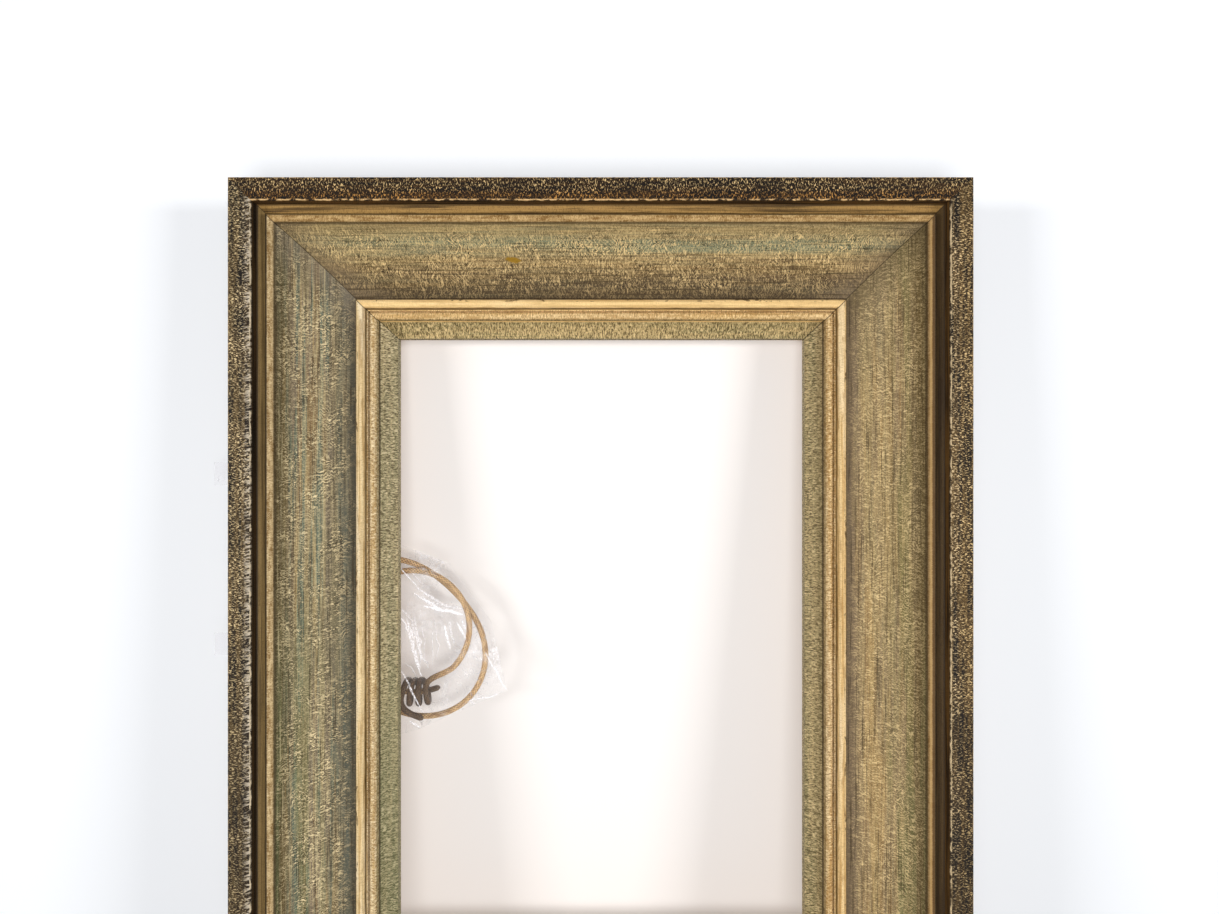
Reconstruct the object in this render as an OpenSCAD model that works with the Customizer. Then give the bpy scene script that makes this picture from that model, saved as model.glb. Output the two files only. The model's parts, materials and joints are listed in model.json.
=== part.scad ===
// Deep scoop picture frame.
// Three nested mouldings, each mitred at the corners: a dark edge strip round the outside, a wide
// scooped rail with a bead at its top, and a gilded liner that carries the picture.
// The frame stands upright on its bottom edge: X is across, Z is up, and the front faces -Y.
// The origin is the centre of the bottom face. Sections are drawn as [u, b]: u is measured outwards
// from the sight edge, and b is measured forwards from the plane of the back.

/* [Picture] */
// Width of the picture that the rebate takes
picture_w = 273; // [180:1:500]
// Height of the picture that the rebate takes
picture_h = 410; // [240:1:700]
// Play of the picture in the rebate, both sides together
picture_play = 3; // [1:0.5:6]
// Width of the rebate that the picture rests on
rebate_w = 7.5; // [5:0.5:8.5]
// Depth of the rebate behind the liner's lip
rebate_d = 7; // [4:0.5:12]

/* [Liner] */
// Thickness of the liner's lip at the sight edge
sight_t = 7; // [4:0.5:12]
// How far the liner's back lies inside the back of the frame
liner_inset = 4; // [4:0.5:8]
// Width of the hollow slip next to the picture
slip_w = 10; // [9:0.5:16]
// Rise of the slip from the sight edge to its step
slip_rise = 6.5; // [3:0.5:8]
// How far the slip is hollowed below a straight bevel
slip_hollow = 1; // [0.3:0.1:2]
// Width of the liner's inner bead
inner_bead_w = 4.6; // [3:0.2:7]
// Height of the inner bead above the sight edge
inner_bead_rise = 15.5; // [13:0.5:20]
// Width of the liner's outer bead
outer_bead_w = 5.4; // [3:0.2:8]
// Height of the outer bead above the sight edge
outer_bead_rise = 19.2; // [17:0.2:26]
// Width of the fillet between the two beads
fillet_w = 1.2; // [0.6:0.1:3]
// Width of the sunk line at each side of the fillet
quirk_w = 0.4; // [0.2:0.1:1]
// Width of the hidden flange behind the scoop's lip
flange_w = 7.7; // [5:0.1:12]

/* [Scoop] */
// Width of the scoop from the liner to the ridge bead
scoop_w = 40.5; // [25:0.5:80]
// Height of the scoop's low end above the sight edge
scoop_end_rise = 13.5; // [12:0.5:16]
// How far the scoop is hollowed below a straight bevel
scoop_hollow = 6.4; // [2:0.2:9]
// Thickness of the scoop's lip over the liner's flange
lip_t = 8.5; // [5:0.5:11]
// Width of the ridge bead
ridge_w = 5.4; // [3:0.2:8]
// Depth of the ridge bead's top below the front of the edge strip
ridge_drop = 3.7; // [1:0.1:8]
// Width of the cove between the ridge bead and the edge strip
cove_w = 5.8; // [4:0.2:12]
// Depth of the cove below the front of the edge strip
cove_drop = 8.7; // [6:0.1:12]
// Radius of the cove
cove_r = 7.7; // [6:0.1:20]

/* [Edge strip] */
// Depth of the frame from front to back
frame_d = 66; // [58:1:90]
// Face width of the edge strip
edge_w = 14; // [8:0.5:25]
// Radius of the edge strip's two front corners
edge_round = 1.2; // [0.5:0.1:2.5]

/* [Fastenings] */
// Length of the edge strip's panel pins
edge_pin_l = 28; // [20:1:40]
// Radius of a panel pin
edge_pin_r = 0.8; // [0.5:0.05:1.2]
// Length of the liner's brads
liner_pin_l = 24; // [20:0.5:26]
// Radius of a liner brad
liner_pin_r = 0.6; // [0.4:0.05:1]
// Greatest distance between pins along a rail
pin_spacing = 115; // [60:5:200]
// Length of a corrugated fastener across the mitre
corrugated_l = 25; // [16:1:36]
// Depth of a corrugated fastener in the wood
corrugated_d = 10; // [6:1:14]
// Length of each leg of a liner wedge nail
wedge_leg = 5; // [3:0.5:6]

/* [Turn buttons] */
// Length of a turn button from its pivot to its tip
button_arm = 14; // [10:0.5:14.5]
// Width of a turn button
button_w = 9; // [6:0.5:9]
// Thickness of a turn button
button_t = 1.5; // [1:0.1:1.6]
// Radius of the pivot screw's shank
button_screw_r = 1.5; // [1:0.1:2]

/* [Hangers] */
// Distance of the ring hangers' pivots below the top of the frame
hanger_drop = 112; // [90:1:125]
// Radius of the hanger ring's bend, to the middle of its wire
ring_bend_r = 10; // [8:0.5:14]
// Radius of the hanger ring's wire
ring_wire_r = 1.2; // [0.8:0.1:1.6]
// Length of the hanger's strap below its pivot
strap_l = 34; // [30:1:50]
// Width of the hanger's strap
strap_w = 10; // [8:0.5:14]
// Thickness of the hanger's strap
strap_t = 1; // [0.8:0.1:1.6]

/* [Hanging cord] */
// Diameter of the hanging cord
cord_d = 4; // [3:0.1:4.4]
// Mean radius of the cord's outer loop
outer_loop_r = 51.5; // [51:0.5:54]
// How far the outer loop is pulled long and narrow
outer_loop_skew = 7; // [4:0.5:8]
// Radius of the cord's inner loop
inner_loop_r = 38.3; // [37:0.1:39]
// Turns that the cord's end takes round its start
tie_turns = 3; // [2:1:3]

/* [Cord bag] */
// Thickness of each of the bag's two films
film_t = 0.3; // [0.2:0.05:0.6]
// Width of the two strips of tape that hold the bag
tape_w = 15; // [10:0.5:24]
// Thickness of the tape
tape_t = 0.2; // [0.1:0.05:0.4]

/* [Hidden] */

// Clearances.
fit_gap = 0.3;        // between the liner and the scoop rail that it drops into
bore_gap = 0.05;      // round a pin or a screw in its hole
pivot_gap = 0.08;     // round a turn button's screw
swing_gap = 0.06;     // round a hanger ring's wire in its eye
button_gap = 0.3;     // between a turn button and the wood
ring_gap = 0.3;       // between a hanging ring and its strap
head_gap = 0.1;       // between a turn button and its screw head
cord_gap = 0.6;       // between crossing strands of the cord
bag_gap = 0.3;        // between the bag and the back of the frame
over = 0.4;           // how far a blank stands proud before a hollow is cut into it
bead_sink = 0.3;      // how far the blank ends below the middle of a bead

// Places across the section, outwards from the sight edge.
inner_bead_u = slip_w;
fillet_u = inner_bead_u + inner_bead_w + quirk_w;
outer_bead_u = fillet_u + fillet_w + quirk_w;
liner_face_u = outer_bead_u + outer_bead_w;
scoop_u = liner_face_u + fit_gap;
flange_u = scoop_u + flange_w;
ridge_u = scoop_u + scoop_w;
cove_u = ridge_u + ridge_w;
edge_u = cove_u + cove_w;
face_w = edge_u + edge_w;

// Places through the section, forwards from the back.
sight_back = liner_inset + rebate_d;
sight_b = sight_back + sight_t;
inner_bead_b = sight_b + inner_bead_rise - inner_bead_w / 2;
outer_bead_b = sight_b + outer_bead_rise - outer_bead_w / 2;
fillet_b = inner_bead_b + 2.4;
scoop_end_b = sight_b + scoop_end_rise;
flange_b = scoop_end_b - lip_t;
ridge_b = frame_d - ridge_drop - ridge_w / 2;
scoop_start_b = ridge_b - 0.8;

// The opening and the whole frame.
sight_w = picture_w + picture_play - 2 * rebate_w;
sight_h = picture_h + picture_play - 2 * rebate_w;
frame_w = sight_w + 2 * face_w;
frame_h = sight_h + 2 * face_w;
back_y = frame_d / 2;
centre_z = frame_h / 2;

// Sides are numbered clockwise from the top: 0 top, 1 right, 2 bottom, 3 left.
function sight_len(side) = side % 2 == 0 ? sight_w : sight_h;
function sight_off(side) = side % 2 == 0 ? sight_h / 2 : sight_w / 2;

// Centre of the circle that hollows a bevel from p to q, and its radius.
function hollow_r(p, q, depth) = pow(norm(q - p), 2) / (8 * depth) + depth / 2;
function hollow_c(p, q, depth) =
    (p + q) / 2 + [p[1] - q[1], q[0] - p[0]] / norm(q - p) * (hollow_r(p, q, depth) - depth);

module hollow(p, q, depth) {
    intersection() {
        translate(hollow_c(p, q, depth))
            circle(r = hollow_r(p, q, depth), $fn = 240);
        translate([p[0] - over, 0])
            square([q[0] - p[0] + over, frame_d]);
    }
}

module bead(u, b, width) {
    translate([u + width / 2, b])
        circle(d = width, $fn = 48);
}

// Sections of the three mouldings.
module edge_section() {
    translate([edge_u, 0]) {
        square([edge_w, frame_d - edge_round]);
        translate([edge_round, 0])
            square([edge_w - 2 * edge_round, frame_d]);
        for (u = [edge_round, edge_w - edge_round])
            translate([u, frame_d - edge_round])
                circle(r = edge_round, $fn = 32);
    }
}

module scoop_section() {
    scoop_end = [scoop_u, scoop_end_b];
    scoop_start = [ridge_u, scoop_start_b];
    difference() {
        polygon([
            [flange_u + fit_gap, 0], [edge_u, 0], [edge_u, ridge_b], [ridge_u, ridge_b],
            [ridge_u, scoop_start_b + over], [scoop_u, scoop_end_b + over],
            [scoop_u, flange_b], [flange_u + fit_gap, flange_b]
        ]);
        hollow(scoop_end, scoop_start, scoop_hollow);
        translate([cove_u + 0.35 * cove_w, frame_d - cove_drop + cove_r])
            circle(r = cove_r, $fn = 96);
    }
    bead(ridge_u, ridge_b, ridge_w);
}

module liner_blank() {
    difference() {
        polygon([
            [0, sight_back], [0, sight_b + over], [slip_w, sight_b + slip_rise + over],
            [slip_w, inner_bead_b - bead_sink], [fillet_u, inner_bead_b - bead_sink],
            [fillet_u, fillet_b], [fillet_u + fillet_w, fillet_b],
            [fillet_u + fillet_w, inner_bead_b - bead_sink], [outer_bead_u, inner_bead_b - bead_sink],
            [outer_bead_u, outer_bead_b - bead_sink], [liner_face_u, outer_bead_b - bead_sink],
            [liner_face_u, flange_b], [flange_u, flange_b],
            [flange_u, liner_inset], [rebate_w, liner_inset], [rebate_w, sight_back]
        ]);
        hollow([0, sight_b], [slip_w, sight_b + slip_rise], slip_hollow);
    }
}

module liner_beads() {
    bead(inner_bead_u, inner_bead_b, inner_bead_w);
    bead(outer_bead_u, outer_bead_b, outer_bead_w);
}

// Puts its children on one side of the frame. Their own +Z points outwards from the sight edge,
// their X runs along the rail, and the back of the frame lies at y = 0.
module on_side(side) {
    translate([0, back_y, centre_z])
        rotate([0, 90 * side, 0])
            translate([0, 0, sight_off(side)])
                children();
}

// Puts its children at a place on the back of a rail: u outwards, along the rail, b forwards.
module at(u, along, b) {
    translate([along, -b, u])
        children();
}

// A section run along one side and cut off at 45 degrees at both ends.
module mitred(side) {
    reach = sight_len(side) / 2;
    past = 1;
    intersection() {
        rotate([180, -90, 0])
            linear_extrude(2 * (reach + face_w), center = true)
                children();
        rotate([90, 0, 0])
            translate([0, 0, -past])
                linear_extrude(frame_d + 2 * past)
                    polygon([
                        [-reach + past, -past], [reach - past, -past],
                        [reach + face_w + past, face_w + past],
                        [-reach - face_w - past, face_w + past]
                    ]);
    }
}

// Where the pins go along a side, counted from its middle.
function pin_places(side) =
    let (count = max(2, round(sight_len(side) / pin_spacing)), step = sight_len(side) / count)
    [for (i = [0 : count - 1]) (i - (count - 1) / 2) * step];

// Panel pins, driven in from outside and stopped over with filler.
edge_pin_sink = 1;
edge_pin_head_r = 1.3;
edge_pin_head_t = 0.8;
module edge_pins_on(side, gap) {
    height = frame_d / 3;
    for (along = pin_places(side))
        at(face_w - edge_pin_sink, along, height)
            mirror([0, 0, 1]) {
                translate([0, 0, -gap])
                    cylinder(r = edge_pin_head_r + gap, h = edge_pin_head_t + 2 * gap, $fn = 32);
                cylinder(r = edge_pin_r + gap, h = edge_pin_l + gap, $fn = 32);
            }
}

// Brads, driven from behind through the liner's flange into the scoop's lip.
module liner_brads_on(side, gap) {
    for (along = pin_places(side))
        at(scoop_u + flange_w / 2, along, liner_inset)
            rotate([90, 0, 0])
                cylinder(r = liner_pin_r + gap, h = liner_pin_l + gap, $fn = 32);
}

// Corrugated fasteners across the four mitres of the scoop rails.
corrugated_t = 0.7;
corrugated_wave = 5;
corrugated_swing = 1.1;
corrugated_steps = 8;
function wave_line(shift) =
    let (count = round(corrugated_l / corrugated_wave) * corrugated_steps)
    [for (i = [0 : count])
        [corrugated_l * (i / count - 0.5),
         corrugated_swing * sin(360 * i / corrugated_steps) + shift]];

module corrugated_strip() {
    rotate([90, 0, 0])
        linear_extrude(corrugated_d)
            polygon(concat(
                wave_line(corrugated_t / 2),
                [for (i = [len(wave_line(0)) - 1 : -1 : 0]) wave_line(-corrugated_t / 2)[i]]
            ));
}

// Turns its children to lie across the mitre at the right-hand end of a side, u outwards.
module on_mitre(side, u) {
    on_side(side)
        at(u, sight_len(side) / 2 + u, 0)
            rotate([0, 45, 0])
                children();
}

module corner_fasteners_at(side) {
    middle = (flange_u + edge_u) / 2;
    spread = (edge_u - flange_u) / 3;
    for (u = [middle - spread / 2, middle + spread / 2])
        on_mitre(side, u)
            corrugated_strip();
}

// Wedge nails across the mitres of the liner, one V at each corner.
wedge_t = 0.6;
wedge_d = 9;
module liner_wedge_at(side) {
    on_mitre(side, (rebate_w + flange_u) / 2)
        translate([0, -liner_inset, 0])
            rotate([90, 0, 0])
                linear_extrude(wedge_d)
                    polygon([
                        [0, 0], [wedge_leg, wedge_leg], [wedge_leg - wedge_t, wedge_leg + wedge_t],
                        [0, 2 * wedge_t],
                        [-wedge_leg + wedge_t, wedge_leg + wedge_t], [-wedge_leg, wedge_leg]
                    ]);
}

// Turn buttons. Each is stowed along its rail and turns about its screw.
button_u = rebate_w + 1 + button_w / 2;
button_tail = 5;
button_hole_r = button_screw_r + pivot_gap;
button_screw_l = 12;
button_head_r = 3.2;
button_head_t = 1.7;
short_button_along = 0;
long_button_along = 0.27 * sight_h;

module button_place(side, along) {
    on_side(side)
        at(button_u, along, liner_inset)
            rotate([-90, 0, 0])
                children();
}

module turn_button(side, along, towards) {
    color("darkgoldenrod")
        button_place(side, along)
            translate([0, 0, button_gap])
                rotate([0, 0, towards > 0 ? 0 : 180])
                    difference() {
                        linear_extrude(button_t) {
                            circle(d = button_w, $fn = 48);
                            translate([0, -button_w / 3])
                                square([button_arm - button_w / 3, 2 * button_w / 3]);
                            translate([button_arm - button_w / 3, 0])
                                circle(r = button_w / 3, $fn = 32);
                        }
                        translate([0, 0, -1])
                            cylinder(r = button_hole_r, h = button_t + 2, $fn = 48);
                    }
}

module button_screw(side, along, gap) {
    stack = button_gap + button_t + head_gap;
    button_place(side, along) {
        translate([0, 0, -button_screw_l])
            cylinder(r = button_screw_r + gap, h = button_screw_l + stack + button_head_t / 2, $fn = 32);
        if (gap == 0)
            translate([0, 0, stack])
                round_head(button_head_r, button_head_t);
    }
}

module button_screws(gap) {
    for (side = [0, 2])
        button_screw(side, short_button_along, gap);
    for (side = [1, 3], along = [-long_button_along, long_button_along])
        button_screw(side, along, gap);
}

// A domed screw head with a cross slot, its flat face at z = 0.
module round_head(r, t) {
    ball = (r * r + t * t) / (2 * t);
    slot = [1.3 * r, 0.22 * r];
    difference() {
        intersection() {
            translate([0, 0, t - ball])
                sphere(r = ball, $fn = 64);
            cylinder(r = r, h = t + 1, $fn = 48);
        }
        for (turn = [0, 90])
            rotate([0, 0, turn])
                translate([-slot[0] / 2, -slot[1] / 2, 0.5 * t])
                    cube([slot[0], slot[1], t]);
    }
}

// Ring hangers on the backs of the two upright scoop rails.
eye_r = ring_wire_r + swing_gap;
eye_outer_r = eye_r + strap_t;
pivot_rise = eye_outer_r + ring_gap;
hanger_x = sight_w / 2 + (flange_u + edge_u) / 2;
hanger_z = frame_h - hanger_drop;
hanger_screw_r = 1.5;
hanger_screw_l = 14;
hanger_head_r = 2.9;
hanger_head_t = 1.6;
hanger_screw_places = [for (i = [1, 2]) ring_bend_r + ring_wire_r + (2 * i - 1) * 5.2];

// The pivot of a hanger's ring: hand is -1 for the left one and 1 for the right one.
module at_hanger(hand) {
    translate([hand * hanger_x, back_y + pivot_rise, hanger_z])
        children();
}

module hanger_strap(hand) {
    color("peru")
        at_hanger(hand)
            difference() {
                union() {
                    rotate([0, 90, 0])
                        cylinder(r = eye_outer_r, h = strap_w, center = true, $fn = 48);
                    translate([0, -pivot_rise, 0])
                        rotate([-90, 0, 0])
                            linear_extrude(strap_t) {
                                translate([-strap_w / 2, 0])
                                    square([strap_w, strap_l - strap_w / 2]);
                                translate([0, strap_l - strap_w / 2])
                                    circle(d = strap_w, $fn = 48);
                            }
                }
                rotate([0, 90, 0])
                    cylinder(r = eye_r, h = strap_w + 2, center = true, $fn = 48);
                for (down = hanger_screw_places)
                    translate([0, -pivot_rise - 1, -down])
                        rotate([-90, 0, 0])
                            cylinder(r = hanger_screw_r + bore_gap, h = strap_t + 2, $fn = 32);
            }
}

module hanger_ring(hand) {
    color("darkgoldenrod")
        at_hanger(hand) {
            rotate([0, 90, 0])
                cylinder(r = ring_wire_r, h = 2 * ring_bend_r, center = true, $fn = 32);
            rotate([-90, 0, 0])
                rotate_extrude(angle = 180, $fn = 96)
                    translate([ring_bend_r, 0])
                        circle(r = ring_wire_r, $fn = 32);
            for (end = [-1, 1])
                translate([end * ring_bend_r, 0, 0])
                    sphere(r = ring_wire_r, $fn = 32);
        }
}

module hanger_screw_pair(hand, gap) {
    at_hanger(hand)
        for (down = hanger_screw_places)
            translate([0, strap_t - pivot_rise, -down])
                rotate([-90, 0, 0]) {
                    translate([0, 0, -strap_t - hanger_screw_l])
                        cylinder(r = hanger_screw_r + gap,
                                 h = strap_t + hanger_screw_l + hanger_head_t / 2, $fn = 32);
                    if (gap == 0)
                        round_head(hanger_head_r, hanger_head_t);
                }
}

// The hanging cord, put up in two loops whose end is wound round the start.
// Its places are [x, z] from the middle of the coil, and y is its depth behind the middle layer.
coil_x = -sight_w / 2 - 2.4;
coil_z = centre_z + 2;
layer_step = cord_d + cord_gap;
outer_loop_c = [1, -1];
inner_loop_c = [5.8, 6.6];
tie_r = inner_loop_r + 6.2;
tie_turn_r = cord_d + 3.7;
tie_step = cord_d + 1.5;
tie_start = -77;
tie_end = tie_start - tie_turns * tie_step / tie_r * 180 / PI;
tie_from_phase = -110;
tie_to_phase = 360 * tie_turns - 90;
cord_start = -72;
leave_tie = 38;
reach_outer = 150;
dip_from = 393;
dip_to = 432;
leave_outer = 405;
reach_inner = 520;
leave_inner = 690;
lead_way = 9;
tail_end = [10, layer_step / 2 - tie_turn_r, -52.3];
tail_ways = [8, 10];
tail_slope = 21;
tube_sides = 6;

function smooth(t) = let (s = min(1, max(0, t))) s * s * (3 - 2 * s);
function turned(angle, r) = [r * cos(angle), r * sin(angle)];
function outer_loop(angle, margin = 0) =
    outer_loop_c + turned(angle, outer_loop_r + margin - outer_loop_skew * sin(2 * angle));
function inner_loop(angle) = inner_loop_c + turned(angle, inner_loop_r);
function tie_line(angle) = inner_loop_c + turned(angle, tie_r);

// A point of the two loops, after so many degrees of travel from the cord's start.
function loop_point(travel) =
    let (
        angle = cord_start - travel,
        out = smooth((travel - leave_tie) / (reach_outer - leave_tie)),
        inward = smooth((travel - leave_outer) / (reach_inner - leave_outer)),
        depth = layer_step * (0.5 - smooth((travel - dip_from) / (dip_to - dip_from))),
        first = (1 - out) * tie_line(angle) + out * outer_loop(angle),
        flat = (1 - inward) * first + inward * inner_loop(angle)
    )
    [flat[0], depth, flat[1]];

// A point of the tie, from 0 at its start to 1 at its end.
function tie_point(t) =
    let (
        angle = tie_start + (tie_end - tie_start) * t,
        phase = tie_from_phase + (tie_to_phase - tie_from_phase) * t,
        flat = inner_loop_c + turned(angle, tie_r + tie_turn_r * cos(phase))
    )
    [flat[0], layer_step / 2 + tie_turn_r * sin(phase), flat[1]];

// A bend from p to q that leaves p along p_way and comes to q along q_way, from 0 to 1.
function bend_point(p, p_way, q, q_way, t) =
    let (s = 1 - t)
    s * s * s * p + 3 * s * s * t * (p + p_way) + 3 * s * t * t * (q - q_way) + t * t * t * q;

function unit(v) = v / norm(v);

start_way = unit(loop_point(0) - loop_point(1));
lead_from = loop_point(leave_inner);
lead_from_way = lead_way * unit(lead_from - loop_point(leave_inner - 1));
lead_to_way = lead_way * unit(tie_point(0.002) - tie_point(0));
tail_from_way = tail_ways[0] * unit(tie_point(1) - tie_point(0.998));
tail_way = [cos(tail_slope), 0, -sin(tail_slope)];

// The whole route, with a point every so many degrees of the loops and of the tie's turns.
// Both ends of the cord run straight for one diameter.
function cord_route(loop_deg, tie_deg) =
    let (tie_steps = round((tie_to_phase - tie_from_phase) / tie_deg))
    concat(
        [loop_point(0) + cord_d * start_way],
        [for (travel = [0 : loop_deg : leave_inner - loop_deg / 2]) loop_point(travel)],
        [for (t = [0 : 0.25 : 0.9]) bend_point(lead_from, lead_from_way, tie_point(0), lead_to_way, t)],
        [for (i = [0 : tie_steps]) tie_point(i / tie_steps)],
        [for (t = [0.2 : 0.2 : 1])
            bend_point(tie_point(1), tail_from_way, tail_end, tail_ways[1] * tail_way, t)],
        [tail_end + cord_d * tail_way]
    );

function route_length(route) =
    [for (i = [1 : len(route) - 1]) norm(route[i] - route[i - 1])] * [for (i = [1 : len(route) - 1]) 1];

// Distance of a point from the stretch between two others.
function off_line(p, a, b) =
    let (t = min(1, max(0, (p - a) * (b - a) / ((b - a) * (b - a)))))
    norm(p - a - t * (b - a));

// Least distance between stretches of the route that are more than a few points apart.
function least_gap(route, apart) = min([
    for (i = [0 : len(route) - 1], j = [i + apart : 1 : len(route) - 2])
        off_line(route[i], route[j], route[j + 1])
]) - cord_d;

function turn_on(before, along) = unit(before - (before * along) * along);

// The way along the route at each point, and a side direction that never twists.
function ways(route) = [for (i = [0 : len(route) - 1])
    unit(route[min(i + 1, len(route) - 1)] - route[max(i - 1, 0)])];
function sides_of(ways) = [
    for (i = 0, side = turn_on([0, 1, 0], ways[0]); i < len(ways);
         i = i + 1, side = i < len(ways) ? turn_on(side, ways[i]) : side) side];

module tube(route, r, n) {
    along = ways(route);
    side = sides_of(along);
    last = len(route) - 1;
    points = [for (i = [0 : last], k = [0 : n - 1])
        route[i] + r * (cos(360 * k / n) * side[i] + sin(360 * k / n) * cross(along[i], side[i]))];
    walls = [for (i = [0 : last - 1], k = [0 : n - 1])
        let (a = i * n + k, b = i * n + (k + 1) % n)
        each [[a, a + n, b], [b, a + n, b + n]]];
    ends = [for (k = [1 : n - 2]) each [[0, k, k + 1], [last * n, last * n + k + 1, last * n + k]]];
    polyhedron(points, concat(walls, ends));
}

cord_y = back_y + bag_gap + film_t + bag_gap + tie_turn_r + cord_d / 2 - layer_step / 2;
module hanging_cord() {
    route = cord_route(15, 22.5);
    fine = cord_route(5, 15);
    echo(cord_length_mm = route_length(fine), least_gap_mm = least_gap(fine, 8));
    color("darkgoldenrod")
        translate([coil_x, cord_y, coil_z])
            tube(route, cord_d / 2, tube_sides);
}

// The clear bag that holds the cord: a flat sheet of two sealed films with a mouth at its top,
// and a pouch where the films part round the coil. Places are [x, z] from the middle of the coil.
bag_reach = outer_loop_r + outer_loop_skew + cord_d / 2;
bag_corner = [bag_reach + 9.5, 26.5 - bag_reach];
bag_foot = [2.5 - bag_reach, -bag_reach - 19.5];
bag_top = 118;
bag_mouth_x = [-90, -42];
bag_left = bag_foot[0] - 9;
tape_hold = 7;
pouch_left = bag_left + tape_hold - 0.5;
hem_w = 4;
pouch_margin = 0.6;
coil_back = cord_y + layer_step / 2 + cord_d / 2 - back_y;
tie_back = coil_back + tie_turn_r;

module bag_sheet() {
    polygon([
        bag_foot, [12, -bag_reach + 1], bag_corner, [bag_reach - 1, 12], [bag_reach / 2 + 2, 50],
        [-2, bag_reach + 3], [bag_mouth_x[1], bag_top], [bag_mouth_x[0], bag_top], [bag_left, 0]
    ]);
}

// The edge of the pouch, drawn in so far from the sheet's own edge.
module pouch_edge(inset) {
    polygon([
        bag_foot + [inset + 3, inset + 2], bag_corner + [-inset - 2, 0],
        [bag_reach - 1 - inset, 12], [bag_reach / 2 + 2 - 0.7 * inset, 50 - 0.7 * inset],
        [-2, bag_reach + 3 - inset], [-46, 52], [pouch_left + inset, 10]
    ]);
}

module tie_outline(margin) {
    translate(tie_line((tie_start + tie_end) / 2))
        circle(r = tie_turn_r + cord_d / 2 + margin, $fn = 24);
}

module coil_outline(margin) {
    polygon([for (angle = [0 : 15 : 345]) outer_loop(angle, cord_d / 2 + margin)]);
    translate(inner_loop_c)
        circle(r = inner_loop_r + cord_d / 2 + margin, $fn = 24);
}

// The pouch stands back from the frame over the coil, and further over its tie.
module pouch(edge_t, over_cord, inset, margin) {
    hull() {
        linear_extrude(edge_t)
            pouch_edge(inset);
        linear_extrude(coil_back + over_cord)
            coil_outline(margin);
        linear_extrude(tie_back + over_cord)
            tie_outline(margin);
    }
}

// Turns a shape drawn across and up, and as thick as its +Z, to lie behind the frame.
module on_back(depth) {
    translate([coil_x, back_y + depth, coil_z])
        rotate([90, 0, 0])
            mirror([0, 0, 1])
                children();
}

module cord_bag() {
    color("lightcyan", 0.4)
        on_back(bag_gap)
            difference() {
                union() {
                    linear_extrude(2 * film_t)
                        bag_sheet();
                    pouch(2 * film_t, film_t, 1, pouch_margin + film_t);
                }
                translate([0, 0, film_t])
                    pouch(0.02, -film_t, hem_w, pouch_margin);
            }
}

// Two strips of clear tape that hold the bag's edge to the back of the left rails. Their ends
// stand out past the side of the frame.
tape_end = -124.4;
tape_upper_z = 110;
tape_lower_z = -3;
glue_t = 0.05;
function sheet_edge(z) = bag_left + (bag_mouth_x[0] - bag_left) * z / bag_top;

module bag_tape(z) {
    bag_edge = sheet_edge(z + tape_w / 2);
    foot = bag_gap + 2 * film_t + glue_t;
    rise = bag_edge - tape_t - 0.2;
    color("lightyellow", 0.5)
        on_back(0)
            translate([0, z + tape_w / 2, 0])
                rotate([90, 0, 0])
                    linear_extrude(tape_w)
                        polygon([
                            [tape_end, 0], [rise - foot, 0], [rise, foot], [bag_edge + tape_hold, foot],
                            [bag_edge + tape_hold, foot + tape_t], [rise - tape_t / 2, foot + tape_t],
                            [rise - foot - tape_t / 2, tape_t], [tape_end, tape_t]
                        ]);
}

// The rails.
module edge_rail(side) {
    color("#3a2f22")
        difference() {
            on_side(side)
                mitred(side)
                    edge_section();
            on_side(side)
                edge_pins_on(side, bore_gap);
        }
}

module scoop_rail(side) {
    color("#8f8365")
        difference() {
            on_side(side)
                mitred(side)
                    scoop_section();
            on_side(side) {
                edge_pins_on(side, bore_gap);
                liner_brads_on(side, bore_gap);
            }
            corner_fasteners_at(side);
            corner_fasteners_at((side + 3) % 4);
            if (side % 2 == 1)
                hanger_screw_pair(side == 1 ? 1 : -1, bore_gap);
        }
}

module liner_rail(side) {
    color("#c2a063")
        difference() {
            on_side(side) {
                mitred(side)
                    liner_blank();
                mitred(side)
                    liner_beads();
            }
            on_side(side)
                liner_brads_on(side, bore_gap);
            liner_wedge_at(side);
            liner_wedge_at((side + 3) % 4);
            button_screws(bore_gap);
        }
}

module on_all_sides() {
    for ($side = [0 : 3])
        on_side($side)
            children();
}

module edge_pins() {
    color("silver")
        on_all_sides()
            edge_pins_on($side, 0);
}

module liner_brads() {
    color("silver")
        on_all_sides()
            liner_brads_on($side, 0);
}

module corner_fasteners() {
    color("dimgray")
        for (side = [0 : 3])
            corner_fasteners_at(side);
}

module liner_wedges() {
    color("dimgray")
        for (side = [0 : 3])
            liner_wedge_at(side);
}

edge_rail(0);  // edge_rail_top
edge_rail(1);  // edge_rail_right
edge_rail(2);  // edge_rail_bottom
edge_rail(3);  // edge_rail_left
scoop_rail(0);  // scoop_rail_top
scoop_rail(1);  // scoop_rail_right
scoop_rail(2);  // scoop_rail_bottom
scoop_rail(3);  // scoop_rail_left
liner_rail(0);  // liner_rail_top
liner_rail(1);  // liner_rail_right
liner_rail(2);  // liner_rail_bottom
liner_rail(3);  // liner_rail_left
edge_pins();
liner_brads();
corner_fasteners();
liner_wedges();
turn_button(0, short_button_along, 1);  // turn_button_top
turn_button(2, short_button_along, 1);  // turn_button_bottom
turn_button(1, -long_button_along, 1);  // turn_button_right_upper
turn_button(1, long_button_along, -1);  // turn_button_right_lower
turn_button(3, long_button_along, -1);  // turn_button_left_upper
turn_button(3, -long_button_along, 1);  // turn_button_left_lower
color("goldenrod") button_screws(0);
hanger_strap(-1);  // hanger_strap_left
hanger_strap(1);  // hanger_strap_right
hanger_ring(-1);  // hanger_ring_left
hanger_ring(1);  // hanger_ring_right
color("goldenrod")  // hanger_screws
        for (hand = [-1, 1])
            hanger_screw_pair(hand, 0);
hanging_cord();
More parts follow.
